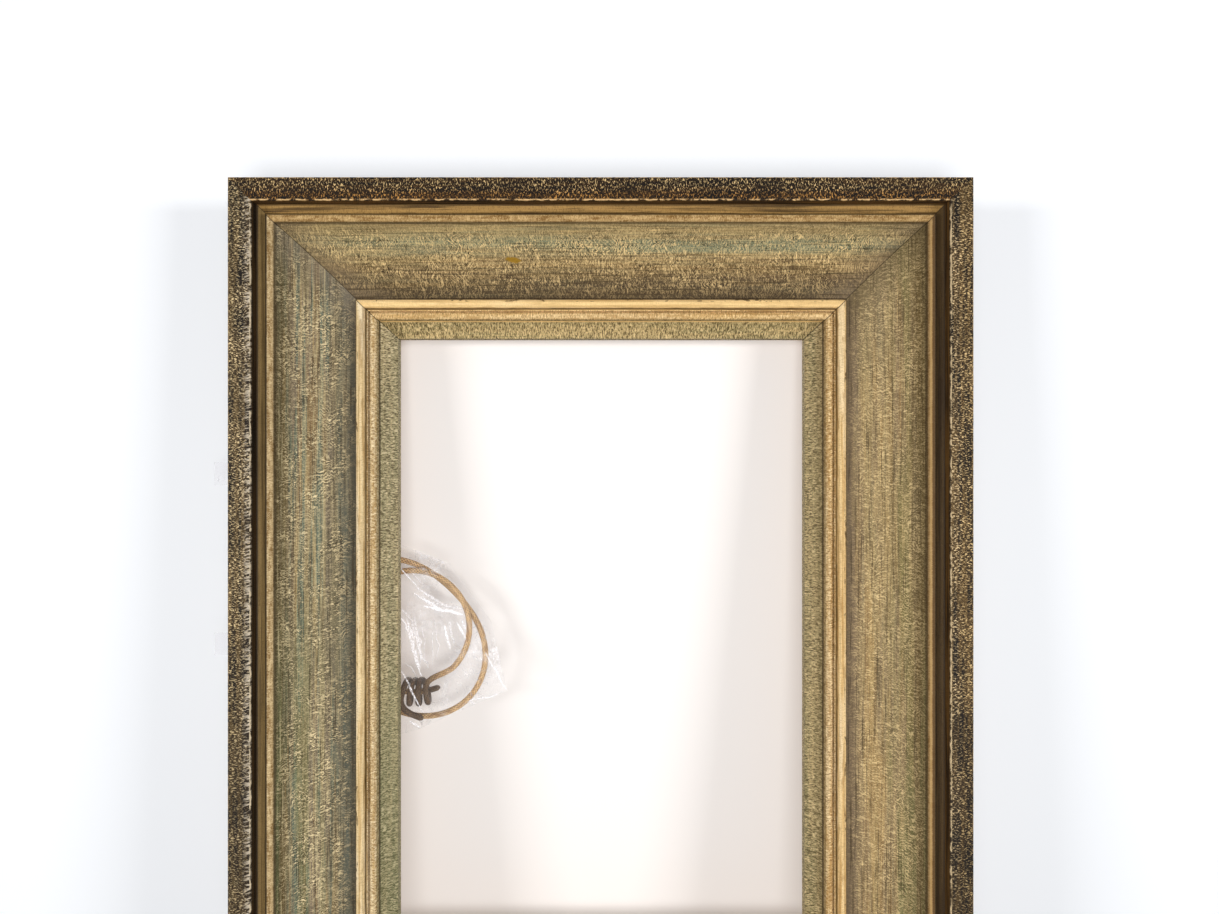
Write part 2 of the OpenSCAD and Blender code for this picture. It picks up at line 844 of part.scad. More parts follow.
cord_bag();
bag_tape(tape_upper_z);  // bag_tape_upper
bag_tape(tape_lower_z);  // bag_tape_lower
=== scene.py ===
"""Looks of the deep scoop picture frame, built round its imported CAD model.

All sizes are in metres, in the CAD model's own frame: X across, Z up, and the front faces -Y.
A place on a rail is told as on the drawing: along the rail, out from the sight edge, and
forwards from the plane of the back.
"""

import json
import math
from collections import namedtuple

import bmesh
import bpy
from bpy.props import FloatProperty, FloatVectorProperty, IntProperty, PointerProperty
from bpy.types import Operator, Panel, PropertyGroup
from mathutils import Matrix, Vector, noise


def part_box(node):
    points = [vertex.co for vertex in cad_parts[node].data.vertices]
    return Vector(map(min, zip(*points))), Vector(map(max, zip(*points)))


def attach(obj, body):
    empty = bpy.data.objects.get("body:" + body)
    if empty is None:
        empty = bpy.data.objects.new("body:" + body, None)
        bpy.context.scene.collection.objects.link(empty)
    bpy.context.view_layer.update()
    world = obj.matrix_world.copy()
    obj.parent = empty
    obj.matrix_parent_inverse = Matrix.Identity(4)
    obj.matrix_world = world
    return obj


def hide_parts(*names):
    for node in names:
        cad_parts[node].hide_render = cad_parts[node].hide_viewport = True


bl_info = {
    "name": "Deep scoop picture frame",
    "version": (1, 0, 0),
    "blender": (4, 5, 0),
    "location": "3D View > Sidebar > Picture frame",
    "description": "Dresses the packed picture frame with its finishes, its bagged cord and a plain stage",
    "category": "Object",
}

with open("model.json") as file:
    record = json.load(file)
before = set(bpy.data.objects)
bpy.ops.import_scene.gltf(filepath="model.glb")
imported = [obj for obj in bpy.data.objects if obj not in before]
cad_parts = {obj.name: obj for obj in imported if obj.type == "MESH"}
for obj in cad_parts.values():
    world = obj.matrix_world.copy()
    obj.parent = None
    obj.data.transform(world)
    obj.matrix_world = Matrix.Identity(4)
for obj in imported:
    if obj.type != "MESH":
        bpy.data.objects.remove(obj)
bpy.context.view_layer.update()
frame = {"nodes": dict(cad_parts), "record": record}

MM = 0.001
SIDES = ("top", "right", "bottom", "left")
SIGHT_HALF_W = -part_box("liner_rail_left")[1].x
FRAME_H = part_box("edge_rail_top")[1].z
CENTRE_Z = FRAME_H / 2
SIGHT_HALF_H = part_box("liner_rail_top")[0].z - CENTRE_Z
BACK_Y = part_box("scoop_rail_top")[1].y
FRONT_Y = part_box("edge_rail_top")[0].y


def tint(red, green, blue):
    """A colour as it is seen, 0 to 255 in each part, in the linear form that Blender keeps."""
    return tuple(
        part / 12.92 if part <= 0.04045 else ((part + 0.055) / 1.055) ** 2.4
        for part in (red / 255, green / 255, blue / 255)
    )


def colour(name, description, red, green, blue):
    return FloatVectorProperty(
        name=name, description=description, subtype="COLOR", size=3, min=0, max=1,
        default=tint(red, green, blue),
    )


def length(name, description, default):
    return FloatProperty(
        name=name, description=description, default=default, min=0, subtype="DISTANCE", unit="LENGTH",
    )


def share(name, description, default):
    return FloatProperty(name=name, description=description, default=default, min=0, max=1, subtype="FACTOR")


class CordSettings(PropertyGroup):
    diameter: length("Diameter", "Diameter of the hanging cord", 0.004)
    lobes: IntProperty(
        name="Lobes", description="Strands of the braid seen round the cord", default=6, min=3, max=12,
    )
    pitch: length("Pitch", "Length of cord in which a strand goes once round", 0.013)
    relief: length("Relief", "Depth of the hollows between the strands", 0.00022)
    yarn: colour("Yarn", "Colour of the cord's yarn", 232, 190, 132)
    # painted shade: the colour between the strands is darker, as shade in the hollows
    hollow_shade: colour("Hollows", "Colour between the strands", 98, 64, 34)


class FilmSettings(PropertyGroup):
    film: colour("Film", "Colour that the clear film lends", 240, 238, 242)
    haze: share("Haze", "How much the flat film hides", 0.03)
    wrinkle: length("Wrinkles", "Height of the film's wrinkles", 0.0011)


class FinishSettings(PropertyGroup):
    scoop_olive: colour("Scoop", "Main paint of the scoop", 150, 134, 96)
    scoop_grey: colour("Scoop, grey", "Violet-grey streaks in the scoop", 128, 113, 94)
    scoop_blue: colour("Scoop, blue-green", "Blue-green streaks in the scoop", 108, 126, 110)
    scoop_umber: colour("Scoop, umber", "Umber streaks in the scoop", 132, 104, 66)
    gilt: colour("Gilt flecks", "Raised cream-gold flecks", 250, 228, 178)
    dirt: colour("Dirt", "Dark wax in the hollows", 44, 33, 18)
    bead_cream: colour("Bead", "Rubbed cream-gold of the beads", 236, 210, 160)
    slip_olive: colour("Slip", "Grey-green of the slip", 146, 138, 102)
    band_black: colour("Edge strip", "Brown-black of the edge strip", 24, 17, 10)
    wood: colour("Bare wood", "Bare wood of the back", 186, 146, 98)


class StageSettings(PropertyGroup):
    lean: FloatProperty(
        name="Lean", description="Angle between the frame and the wall behind it",
        default=math.radians(6.5), subtype="ANGLE",
    )
    lamp_power: FloatProperty(name="Lamps", description="Power of each of the two soft lamps", default=40.5, min=0)
    fill: FloatProperty(name="Fill", description="Strength of the light from all round", default=0.23, min=0)


class PictureFrameSettings(PropertyGroup):
    cord: PointerProperty(type=CordSettings)
    film: PointerProperty(type=FilmSettings)
    finish: PointerProperty(type=FinishSettings)
    stage: PointerProperty(type=StageSettings)


class Finish:
    """A material, or the world, in the making: most calls add a node and give one of its outputs."""

    def __init__(self, name, kept_in="materials"):
        self.made = getattr(bpy.data, kept_in).new(name)
        self.made.use_nodes = True
        self.nodes = self.made.node_tree.nodes
        self.links = self.made.node_tree.links
        self.nodes.clear()

    def add(self, kind, inputs=None, **settings):
        made = self.nodes.new(kind)
        for name, value in settings.items():
            setattr(made, name, value)
        for key, value in (inputs or {}).items():
            if isinstance(value, bpy.types.NodeSocket):
                self.links.new(value, made.inputs[key])
            else:
                made.inputs[key].default_value = value
        return made

    def math(self, operation, a, b=0.0, c=0.0):
        return self.add("ShaderNodeMath", {0: a, 1: b, 2: c}, operation=operation).outputs[0]

    def vector_math(self, operation, a, b):
        """The vector that a step on two vectors gives, or its number where it gives one."""
        made = self.add("ShaderNodeVectorMath", {0: a, 1: b}, operation=operation)
        return made.outputs[1 if operation in ("DOT_PRODUCT", "DISTANCE") else 0]

    def plus(self, a, b):
        return self.math("ADD", a, b)

    def minus(self, a, b):
        return self.math("SUBTRACT", a, b)

    def times(self, a, b):
        return self.math("MULTIPLY", a, b)

    def most(self, a, b):
        return self.math("MAXIMUM", a, b)

    def rise(self, value, low, high):
        """0 up to low, 1 from high on, and smooth between; low may be the greater one."""
        if low > high:
            return self.minus(1.0, self.rise(value, high, low))
        return self.add(
            "ShaderNodeMapRange", {"Value": value, "From Min": low, "From Max": high},
            interpolation_type="SMOOTHSTEP",
        ).outputs[0]

    def within(self, value, low, high, soft):
        """1 between low and high, fading over soft at both ends."""
        return self.times(self.rise(value, low - soft, low + soft), self.rise(value, high + soft, high - soft))

    def mix(self, factor, a, b, blend_type="MIX"):
        a, b = (x if isinstance(x, bpy.types.NodeSocket) else tuple(x) + (1.0,) for x in (a, b))
        node = self.add("ShaderNodeMix", {0: factor, 6: a, 7: b}, data_type="RGBA", blend_type=blend_type)
        return node.outputs[2]

    def over(self, base, tone, *amounts):
        """The base with a tone laid over it, as much as the product of the amounts."""
        amount = amounts[0]
        for more in amounts[1:]:
            amount = self.times(amount, more)
        return self.mix(amount, base, tone)

    def vector(self, x, y, z):
        return self.add("ShaderNodeCombineXYZ", {0: x, 1: y, 2: z}).outputs[0]

    def noise(self, vector, scale, detail=3.0, roughness=0.55, distortion=0.0):
        return self.add(
            "ShaderNodeTexNoise",
            {"Vector": vector, "Scale": scale, "Detail": detail, "Roughness": roughness, "Distortion": distortion},
        ).outputs[0]

    def object_place(self):
        where = self.add("ShaderNodeTexCoord").outputs["Object"]
        return where, self.add("ShaderNodeSeparateXYZ", {0: where}).outputs

    def surface(self, base, roughness=0.6, height=None, relief=0.001, **sockets):
        """Ends the material with a Principled shader, its bump and its output."""
        inputs = {"Base Color": base if isinstance(base, bpy.types.NodeSocket) else tuple(base) + (1.0,),
                  "Roughness": roughness}
        inputs.update({name.replace("_", " "): value for name, value in sockets.items()})
        if height is not None:
            inputs["Normal"] = self.add("ShaderNodeBump", {"Distance": relief, "Height": height}).outputs[0]
        shader = self.add("ShaderNodeBsdfPrincipled", inputs)
        self.add("ShaderNodeOutputMaterial", {"Surface": shader.outputs[0]})
        return self.made


# Places on the profile, out from the sight edge
SLIP_TO = 0.0100
GROOVE_FROM, GROOVE_TO = 0.0156, 0.0166
LINER_TO = 0.0222
SCOOP_FROM, SCOOP_TO = 0.0223, 0.0628
RIDGE_FROM, RIDGE_TO = 0.0629, 0.0668
COVE_FROM = 0.0667
STRIP_FROM = 0.0739
OUTER_FACE = 0.0874

COMB_PITCH = 0.0021
OCHRE_OUT, OCHRE_ALONG = 0.0455, -0.0543


class RailPlace:
    """Where a point of a rail lies on the drawing, as outputs in one material."""

    def __init__(self, finish, side):
        _, (x, y, z) = finish.object_place()
        up = finish.minus(z, CENTRE_Z)
        self.finish = finish
        self.side = side
        self.level = side in ("top", "bottom")
        self.seed = 1.7 + 2.3 * SIDES.index(side)
        self.along = x if self.level else up
        across, half, half_along = (
            (up, SIGHT_HALF_H, SIGHT_HALF_W) if self.level else (x, SIGHT_HALF_W, SIGHT_HALF_H)
        )
        self.out = finish.minus(finish.math("ABSOLUTE", across), half)
        self.forwards = finish.minus(BACK_Y, y)
        reach = finish.plus(self.out, half_along)
        self.to_mitre = finish.minus(reach, finish.math("ABSOLUTE", self.along))

    def spread(self, along, turns_along, across, shift):
        """The place, stretched to so many turns per metre along the rail and across it."""
        f = self.finish
        return f.vector(
            f.plus(f.times(along, turns_along), self.seed + shift),
            f.times(self.out, across),
            f.times(self.forwards, across),
        )

    def noise(self, along, across, shift=0.0, detail=4.0, roughness=0.6, distortion=0.0):
        """A noise with so many turns per metre along the rail and across it."""
        spread = self.spread(self.along, along, across, shift)
        return self.finish.noise(spread, 1.0, detail, roughness, distortion)

    def strokes(self, wide, long, shift, slant=0.0, sparse=0.0, curl=0.6):
        """Fine combed strokes that lie across the rail: the raised light ones, and dark ones between them, which
        are dark wax and painted shade beside the raised paint.
        """
        f = self.finish
        along = f.plus(self.along, f.times(self.out, slant))
        grain = f.noise(self.spread(along, 1 / wide, 1 / long, shift), 1.0, 2.0, 0.6, curl)
        return f.rise(grain, 0.53 + sparse, 0.58 + sparse), f.rise(grain, 0.47, 0.42)

    def combs(self):
        """Curved rows of combed marks, broken here and there."""
        f = self.finish
        sway = self.noise(60, 100, 29.0, 2.0)
        turn = f.plus(f.times(self.along, 1 / COMB_PITCH), f.times(sway, 9.0))
        row = f.rise(f.math("SINE", f.times(turn, 2 * math.pi)), 0.35, 0.85)
        return f.times(row, f.rise(self.noise(420, 260, 30.0, 2.0), 0.42, 0.54))


# What sets one side's finish apart; all are shares, apart from the lip's width of darker paint and painted shade
# next to the liner. The ridge's share is how much rubbed gold it keeps against dark brown.
RailLook = namedtuple("RailLook", "combed evenness stroke_depth lip blue ridge_wear cove_gold warmth")
LOOKS = {
    "top": RailLook(1.0, 0.6, 1.0, 0.034, 0.7, 0.7, 1.0, 1.0),
    "right": RailLook(0.7, 0.75, 0.75, 0.014, 0.25, 0.36, 0.15, 0.7),
    "bottom": RailLook(0.8, 0.6, 0.7, 0.022, 0.5, 0.6, 0.5, 0.6),
    "left": RailLook(1.0, 0.35, 0.75, 0.026, 0.85, 0.75, 0.8, 0.0),
}


def edge_finish(side, paint):
    """The nearly black edge strip with its cream flecks, its worn rims, and painted shade on and beside its inner
    wall.
    """
    f = Finish("edge_finish_" + side)
    place = RailPlace(f, side)
    low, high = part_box("edge_rail_left")
    inner, outer = -high.x - SIGHT_HALF_W, -low.x - SIGHT_HALF_W
    streak = place.noise(14, 420)
    wear = place.noise(38, 60, 3.0)
    patch = f.plus(0.5, f.times(f.rise(wear, 0.40, 0.60), 0.5))
    if place.level:
        sparse, worn = 0.03, 0.05
        brown, rim_tone = tint(60, 42, 20), tint(214, 184, 140)
        near, far = tint(196, 148, 84), tint(232, 208, 160)
    else:
        sparse, worn = 0.015, 0.4
        brown, rim_tone = tint(98, 78, 46), tint(206, 188, 156)
        near, far = tint(226, 204, 164), tint(226, 200, 150)
    light, gap_wax_and_shade = place.strokes(0.0007, 0.0015, 1.0, sparse=sparse)
    base = f.mix(f.rise(streak, 0.42, 0.62), paint.band_black, brown)
    base = f.over(base, tint(122, 100, 68), f.rise(wear, 0.44, 0.62), worn)
    # dark wax and painted shade between the raised strokes, nearly black
    base = f.over(base, tint(8, 5, 2), gap_wax_and_shade, 0.85)
    if not place.level:
        lower = f.rise(f.plus(place.along, f.times(wear, 0.06)), 0.05, -0.05)
        base = f.over(base, paint.band_black, lower, 0.45)
        patch = f.times(patch, f.minus(1.0, f.times(lower, 0.4)))
    fleck = f.mix(f.rise(place.out, inner + 0.003, inner + 0.009), near, far)
    base = f.over(base, fleck, light, patch)
    if side == "left":
        combed, cut_wax_and_shade = place.strokes(0.0012, 0.007, 31.0, 0.25, -0.02)
        near_rim = f.rise(place.out, inner + 0.0055, inner + 0.001)
        base = f.over(base, tint(200, 186, 164), near_rim, 0.85, combed)
        # dark wax and painted shade in the cuts between the combed marks
        base = f.over(base, tint(34, 22, 14), near_rim, 0.9, cut_wax_and_shade)
        inner_wall_shade_tones = tint(20, 12, 4), tint(58, 40, 18)
    else:
        inner_wall_shade_tones = tint(46, 32, 16), tint(104, 76, 38)
    depth = BACK_Y - FRONT_Y
    front = f.rise(place.forwards, depth - 0.0016, depth - 0.0006)
    # painted shade: the strip's inner wall is painted dark, darkest on the left, as it stands in shade
    wall = f.rise(place.out, inner + 0.0003, inner + 0.0001)
    base = f.over(base, f.mix(f.rise(streak, 0.4, 0.6), *inner_wall_shade_tones), wall, f.minus(1.0, front))
    chips = place.noise(210, 260, 9.0, 3.0)
    # painted shade: a dark band on the front face at the inner edge, which widens the shaded inner wall
    base = f.over(base, tint(40, 28, 14), f.rise(place.out, inner + 0.0007, inner + 0.0003), front, 0.8)
    ragged = f.plus(place.out, f.times(f.minus(chips, 0.5), 0.002))
    rim = f.within(ragged, inner + 0.0004, inner + 0.0011, 0.0003)
    base = f.over(base, rim_tone, rim, front, f.rise(chips, 0.42, 0.54))
    rim = f.within(place.out, outer - 0.0006, outer + 0.001, 0.0003)
    base = f.over(base, tint(196, 166, 122), rim, front, f.rise(chips, 0.44, 0.56))
    return finish_rail(place, base, f.plus(light, f.times(streak, 0.6)), paint, 0.0)


def scoop_ground(place, paint, broad, middle, hair):
    """The scoop's streaky olive, grey, blue-green and umber paint, with darker paint and painted shade next to the
    liner, painted shade beside the ridge on the upright rails, and painted light towards the ridge on the top and
    bottom rails.
    """
    f, side, out = place.finish, place.side, place.out
    base = f.mix(f.rise(broad, 0.42, 0.56), paint.scoop_grey, paint.scoop_olive)
    base = f.over(base, tint(182, 152, 98), f.rise(place.noise(7, 180, 10.0), 0.52, 0.62), 0.7)
    base = f.over(base, paint.scoop_blue, f.rise(middle, 0.50, 0.60), LOOKS[side].blue)
    base = f.over(base, paint.scoop_umber, f.rise(place.noise(6, 240, 8.0), 0.51, 0.62), 0.8)
    blue_at = SCOOP_FROM + 0.006 if side == "left" else SCOOP_TO - 0.010
    blue = f.times(f.within(out, blue_at - 0.004, blue_at + 0.004, 0.003), f.rise(broad, 0.34, 0.56))
    blue_tone = tint(96, 108, 64) if side == "right" else tint(104, 132, 126)
    base = f.over(base, blue_tone, blue, 0.95 if place.level else 0.8)
    if side == "top":
        base = f.over(base, tint(118, 126, 104), f.rise(out, SCOOP_TO - 0.020, SCOOP_TO - 0.012), 0.4)
        amber = f.within(out, SCOOP_FROM + 0.012, SCOOP_FROM + 0.024, 0.004)
        base = f.over(base, tint(150, 112, 68), amber, 0.4)
    base = f.over(base, tint(196, 176, 128), f.rise(hair, 0.50, 0.66), 0.6)
    base = f.over(base, tint(76, 66, 46), f.rise(hair, 0.46, 0.32), 0.7)
    patina = place.noise(8, 14, 3.0, 2.0, 0.5)
    base = f.over(base, tint(104, 106, 82), f.rise(patina, 0.46, 0.64), 0.35)
    # darker paint and painted shade of the liner's bead next to the liner, widest and darkest on the top rail
    lip = f.rise(out, SCOOP_FROM + LOOKS[side].lip, SCOOP_FROM)
    base = f.over(base, tint(54, 43, 27) if place.level else tint(72, 67, 54), lip, 0.95)
    if side == "right":
        base = f.mix(0.25, base, tint(196, 168, 122))
        violet = f.times(f.rise(out, SCOOP_FROM + 0.010, SCOOP_FROM + 0.006), f.rise(broad, 0.36, 0.5))
        base = f.over(base, tint(112, 98, 84), violet, 0.7)
    if place.level:
        # painted light: the top and bottom rails are lighter towards the ridge
        base = f.over(base, tint(204, 182, 136), f.rise(out, SCOOP_TO - 0.030, SCOOP_TO - 0.008), 0.3)
        base = f.over(base, tint(104, 138, 128), blue, 0.45)
    else:
        # painted shade beside the ridge on the upright rails
        base = f.over(base, tint(72, 61, 31), f.rise(out, SCOOP_TO - 0.010, SCOOP_TO - 0.001), 0.85)
        lower = f.times(f.rise(place.along, 0.06, -0.08), f.rise(broad, 0.36, 0.56))
        outward = f.rise(out, SCOOP_FROM + 0.012, SCOOP_FROM + 0.030)
        base = f.over(base, tint(96, 112, 74), outward, 0.45, lower)
    return base, lip


def ridge_tone(place, light, gap_wax_and_shade):
    """The rubbed gold of the ridge bead."""
    f = place.finish
    rubbed = place.noise(90, 420, 13.0, 3.0)
    tone = f.mix(f.rise(rubbed, 0.36, 0.6), tint(140, 112, 66), tint(206, 180, 132))
    # dark wax and painted shade between the raised strokes
    tone = f.over(tone, tint(112, 82, 42), gap_wax_and_shade, 0.5)
    tone = f.over(tone, tint(238, 214, 168), light, 0.6)
    # How much rubbed gold the ridge keeps against dark brown differs from side to side
    tone = f.mix(1 - LOOKS[place.side].ridge_wear, tone, tint(104, 76, 40))
    if place.side == "right":
        # On the right rail: painted shade over the ridge's outer half, and painted light along its crest
        tone = f.over(tone, tint(80, 58, 30), f.rise(place.out, 0.0648, 0.0655), 0.85)
        tone = f.over(tone, tint(186, 156, 106), f.within(place.out, 0.0638, 0.0648, 0.0004), 0.6)
    return tone


def cove_tone(place, middle, hair, gap_wax_and_shade):
    """The darker gold of the cove."""
    f = place.finish
    tone = f.mix(f.rise(middle, 0.36, 0.54), tint(92, 72, 38), tint(164, 134, 82))
    tone = f.mix(1 - LOOKS[place.side].cove_gold, tone, tint(50, 36, 16))
    tone = f.over(tone, tint(52, 36, 18), f.rise(hair, 0.46, 0.32), 0.7)
    # dark wax and painted shade between the raised strokes
    tone = f.over(tone, tint(48, 34, 16), gap_wax_and_shade, 0.35)
    if place.side == "left":
        tone = f.mix(0.3, tone, tint(150, 122, 72))
        # painted shade: the cove is darker next to the edge strip's wall, which shades it
        tone = f.over(tone, tint(32, 21, 8), f.rise(place.out, STRIP_FROM - 0.0021, STRIP_FROM - 0.0005), 0.4)
    return tone


def scoop_finish(side, paint):
    """The scoop's painted ground under combed cream-gold strokes, its ridge bead and its cove."""
    f = Finish("scoop_finish_" + side)
    place = RailPlace(f, side)
    look = LOOKS[side]
    broad = place.noise(5, 110, 2.0)
    middle = place.noise(9, 330, 4.0)
    hair = place.noise(26, 1100, 6.0, 2.0)
    base, lip = scoop_ground(place, paint, broad, middle, hair)
    light, gap_wax_and_shade = place.strokes(0.0008, 0.0022, 1.0, sparse=0.01, curl=1.6)
    bold, _ = place.strokes(0.0013, 0.0044, 11.0, 0.25, 0.05, 1.2)
    corner = f.rise(place.to_mitre, 0.034, 0.0)
    base = f.over(base, tint(84, 74, 50) if side == "right" else tint(116, 105, 90), corner, 0.65)
    body = f.within(place.out, SCOOP_FROM + 0.006, SCOOP_TO - 0.004, 0.005)
    body = f.times(body, f.minus(1.0, f.times(corner, 0.85)))
    cluster = f.rise(place.noise(70, 110, 12.0, 3.0), 0.42, 0.58)
    patch = f.plus(look.evenness, f.times(cluster, 1 - look.evenness))
    share = f.times(f.times(patch, look.combed), f.plus(f.times(body, 0.65), 0.35))
    rows = f.times(place.combs(), f.rise(place.noise(18, 70, 31.0, 2.0), 0.44, 0.58))
    marks = f.most(f.times(light, 0.9), f.times(bold, 0.75))
    cover = f.times(share, f.most(marks, f.times(rows, 0.9)))
    # dark wax and painted shade between the raised strokes
    base = f.over(base, tint(54, 44, 26), share, look.stroke_depth, gap_wax_and_shade)
    # the flecks are duller, and below the dark lines stronger, in the darker paint and painted shade next to the
    # liner
    base = f.over(base, f.mix(f.times(lip, 0.65), paint.gilt, tint(164, 140, 100)), cover)
    base = f.over(base, tint(72, 60, 40), f.rise(hair, 0.44, 0.30), 0.6)
    lines = place.noise(17, 640, 17.0, 3.0)
    base = f.over(base, tint(64, 52, 32), f.rise(lines, 0.42, 0.36), f.plus(0.35, f.times(lip, 0.4)))
    if side != "right":
        pale = f.minus(0.35, f.times(lip, 0.3))
        base = f.over(base, tint(218, 202, 156), f.rise(lines, 0.60, 0.66), pale)
    if side == "top":
        base = f.over(base, tint(148, 118, 36), ochre_spot(place))
    base = f.over(base, ridge_tone(place, light, gap_wax_and_shade), f.within(place.out, RIDGE_FROM, RIDGE_TO, 0.0004))
    base = f.over(base, cove_tone(place, middle, hair, gap_wax_and_shade), f.rise(place.out, COVE_FROM, COVE_FROM + 0.0007))
    # Dark wax in the joints; at the cove's two feet it is also painted shade, weaker on the top rail and wider on
    # the left
    deep = 0.6 if side == "top" else 0.9
    wide = 0.0012 if side == "left" else 0.0008
    for joint, half, depth in (
        (SCOOP_FROM + 0.0002, 0.0007, 0.9), (SCOOP_TO - 0.0001, 0.0004, 0.6),
        (COVE_FROM + 0.0009, wide, deep), (STRIP_FROM, 0.0006, deep),
    ):
        base = f.over(base, paint.dirt, f.within(place.out, joint - half, joint + half, 0.0003), depth)
    return finish_rail(place, base, f.plus(cover, f.times(hair, 0.6)), paint, 0.8)


def ochre_spot(place):
    """The one small spill of ochre on the top rail, 0 to 1."""
    f = place.finish
    from_spot = f.minus(place.out, OCHRE_OUT)
    across = f.math("DIVIDE", from_spot, 0.0016)
    along = f.math("DIVIDE", f.plus(f.minus(place.along, OCHRE_ALONG), from_spot), 0.0040)
    away = f.math("SQRT", f.plus(f.times(across, across), f.times(along, along)))
    return f.rise(f.plus(away, place.noise(900, 900, 0.0, 2.0)), 1.7, 1.3)


def slip_tone(place, paint, streak, soft, light, gap_wax_and_shade):
    """The grey-green of the slip, greener down on the left and darker outwards on the right."""
    f = place.finish
    tone = f.mix(f.rise(soft, 0.4, 0.62), paint.slip_olive, tint(176, 160, 120))
    tone = f.over(tone, tint(204, 184, 138), f.rise(streak, 0.50, 0.64), 0.5)
    # dark wax and painted shade between the raised strokes
    tone = f.over(tone, tint(74, 62, 38), gap_wax_and_shade, 0.85)
    tone = f.over(tone, tint(226, 208, 166), light, 0.75)
    if place.side == "right":
        tone = f.over(tone, tint(96, 76, 44), f.rise(place.out, 0.0040, SLIP_TO - 0.0002), 0.4)
    elif place.side == "left":
        tone = f.over(tone, tint(92, 106, 68), f.rise(place.along, 0.05, -0.10), 0.28)
    return tone


def bead_tone(place, paint, streak, soft, light, gap_wax_and_shade):
    """The rubbed cream-gold of the two beads, of which the inner one is darker and combed."""
    f = place.finish
    tone = f.mix(f.rise(streak, 0.36, 0.58), tint(196, 160, 104), paint.bead_cream)
    tone = f.over(tone, tint(250, 234, 200), f.rise(soft, 0.46, 0.62), 0.6)
    inner = f.rise(place.out, GROOVE_TO - 0.0002, GROOVE_FROM + 0.0002)
    tone = f.over(tone, tint(168, 136, 84), inner, 0.35)
    # dark wax and painted shade between the raised strokes, more on the inner bead
    tone = f.over(tone, tint(122, 92, 50), gap_wax_and_shade, f.plus(0.3, f.times(inner, 0.5)))
    tone = f.over(tone, tint(246, 226, 184), inner, 0.7, light)
    hair = place.noise(30, 1500, 6.0, 2.0)
    tone = f.over(tone, tint(146, 112, 62), f.rise(hair, 0.46, 0.32), 0.6)
    worn = place.noise(60, 300, 15.0, 4.0, 0.65)
    tone = f.over(tone, tint(164, 130, 80), f.rise(worn, 0.54, 0.66), 0.6)
    if place.side == "top":
        # painted light: the top rail's beads are lighter, the outer one most
        outer = f.times(f.rise(place.out, 0.0160, GROOVE_TO), 0.3)
        tone = f.over(tone, tint(255, 230, 178), f.plus(0.1, outer))
    return tone


def liner_finish(side, paint):
    """The liner's grey-green slip and its two gilded beads with the lines between them."""
    f = Finish("liner_finish_" + side)
    place = RailPlace(f, side)
    streak = place.noise(12, 700, 2.0)
    soft = place.noise(10, 140, 5.0, 3.0)
    light, gap_wax_and_shade = place.strokes(0.0007, 0.0022, 1.0)
    slip = slip_tone(place, paint, streak, soft, light, gap_wax_and_shade)
    bead = bead_tone(place, paint, streak, soft, light, gap_wax_and_shade)
    base = f.mix(f.rise(place.out, SLIP_TO - 0.0002, SLIP_TO + 0.0002), slip, bead)
    sway = f.times(f.minus(place.noise(55, 0, 19.0, 3.0), 0.5), 0.0012)
    groove = f.within(f.plus(place.out, sway), GROOVE_FROM, GROOVE_TO, 0.0003)
    base = f.over(base, f.mix(f.rise(streak, 0.4, 0.6), tint(108, 84, 42), tint(168, 138, 86)), groove, 0.9)
    foot = f.within(place.out, SLIP_TO - 0.0003, SLIP_TO + 0.0001, 0.0002)
    # at the inner bead's foot: dark wax, but on the top rail a painted light that lifts the shade there
    foot_tone = tint(255, 222, 160) if side == "top" else paint.dirt
    base = f.over(base, foot_tone, foot, f.rise(place.forwards, 0.0280, 0.0262), 0.85)
    chips = f.rise(place.noise(150, 260, 27.0, 3.0), 0.60, 0.64)
    base = f.over(base, tint(84, 60, 30), chips, f.within(place.out, LINER_TO - 0.0019, LINER_TO, 0.0003), 0.8)
    base = f.over(base, paint.dirt, f.within(place.out, LINER_TO - 0.0004, LINER_TO + 0.0004, 0.0002), 0.85)
    return finish_rail(place, base, f.plus(f.times(light, 0.7), f.times(streak, 0.7)), paint, 0.9)


def finish_rail(place, base, height, paint, mitre):
    """The mitre's thin dark line, the bare wood behind, and the shader, alike on all rails."""
    f = place.finish
    warmth = LOOKS[place.side].warmth
    if warmth:
        base = f.mix(warmth, base, tint(255, 243, 222), blend_type="MULTIPLY")
    if mitre:
        base = f.over(base, paint.dirt, f.rise(place.to_mitre, 0.00045, 0.0002), mitre)
    wood = f.mix(f.rise(place.noise(7, 160, 21.0, distortion=0.6), 0.35, 0.65), paint.wood, tint(214, 178, 128))
    wood = f.over(wood, tint(140, 100, 60), f.rise(place.noise(40, 1900, 23.0, 2.0), 0.52, 0.70), 0.6)
    wood = f.over(wood, tint(148, 116, 78), f.rise(place.noise(22, 26, 25.0), 0.46, 0.70), 0.5)
    outside = f.rise(place.out, OUTER_FACE - 0.0002, OUTER_FACE + 0.0002)
    base = f.over(base, wood, f.rise(place.forwards, 0.0115, 0.0108), f.minus(1.0, outside))
    rough = f.minus(0.66, f.times(f.math("MINIMUM", height, 1.0), 0.12))
    return f.surface(base, rough, height, 0.0003, Specular_IOR_Level=0.2)


def metal_finish(name, bright, dull, roughness):
    """Old metal, dulled in clouds and spots."""
    f = Finish(name)
    where, _ = f.object_place()
    cloud = f.noise(where, 260.0, 4.0, 0.6)
    spots = f.noise(where, 1400.0, 2.0, 0.6)
    base = f.over(f.mix(f.rise(cloud, 0.38, 0.66), bright, dull), tint(70, 52, 34), f.rise(spots, 0.6, 0.75), 0.5)
    return f.surface(base, f.plus(roughness, f.times(cloud, 0.25)), spots, 0.00004, Metallic=1.0)


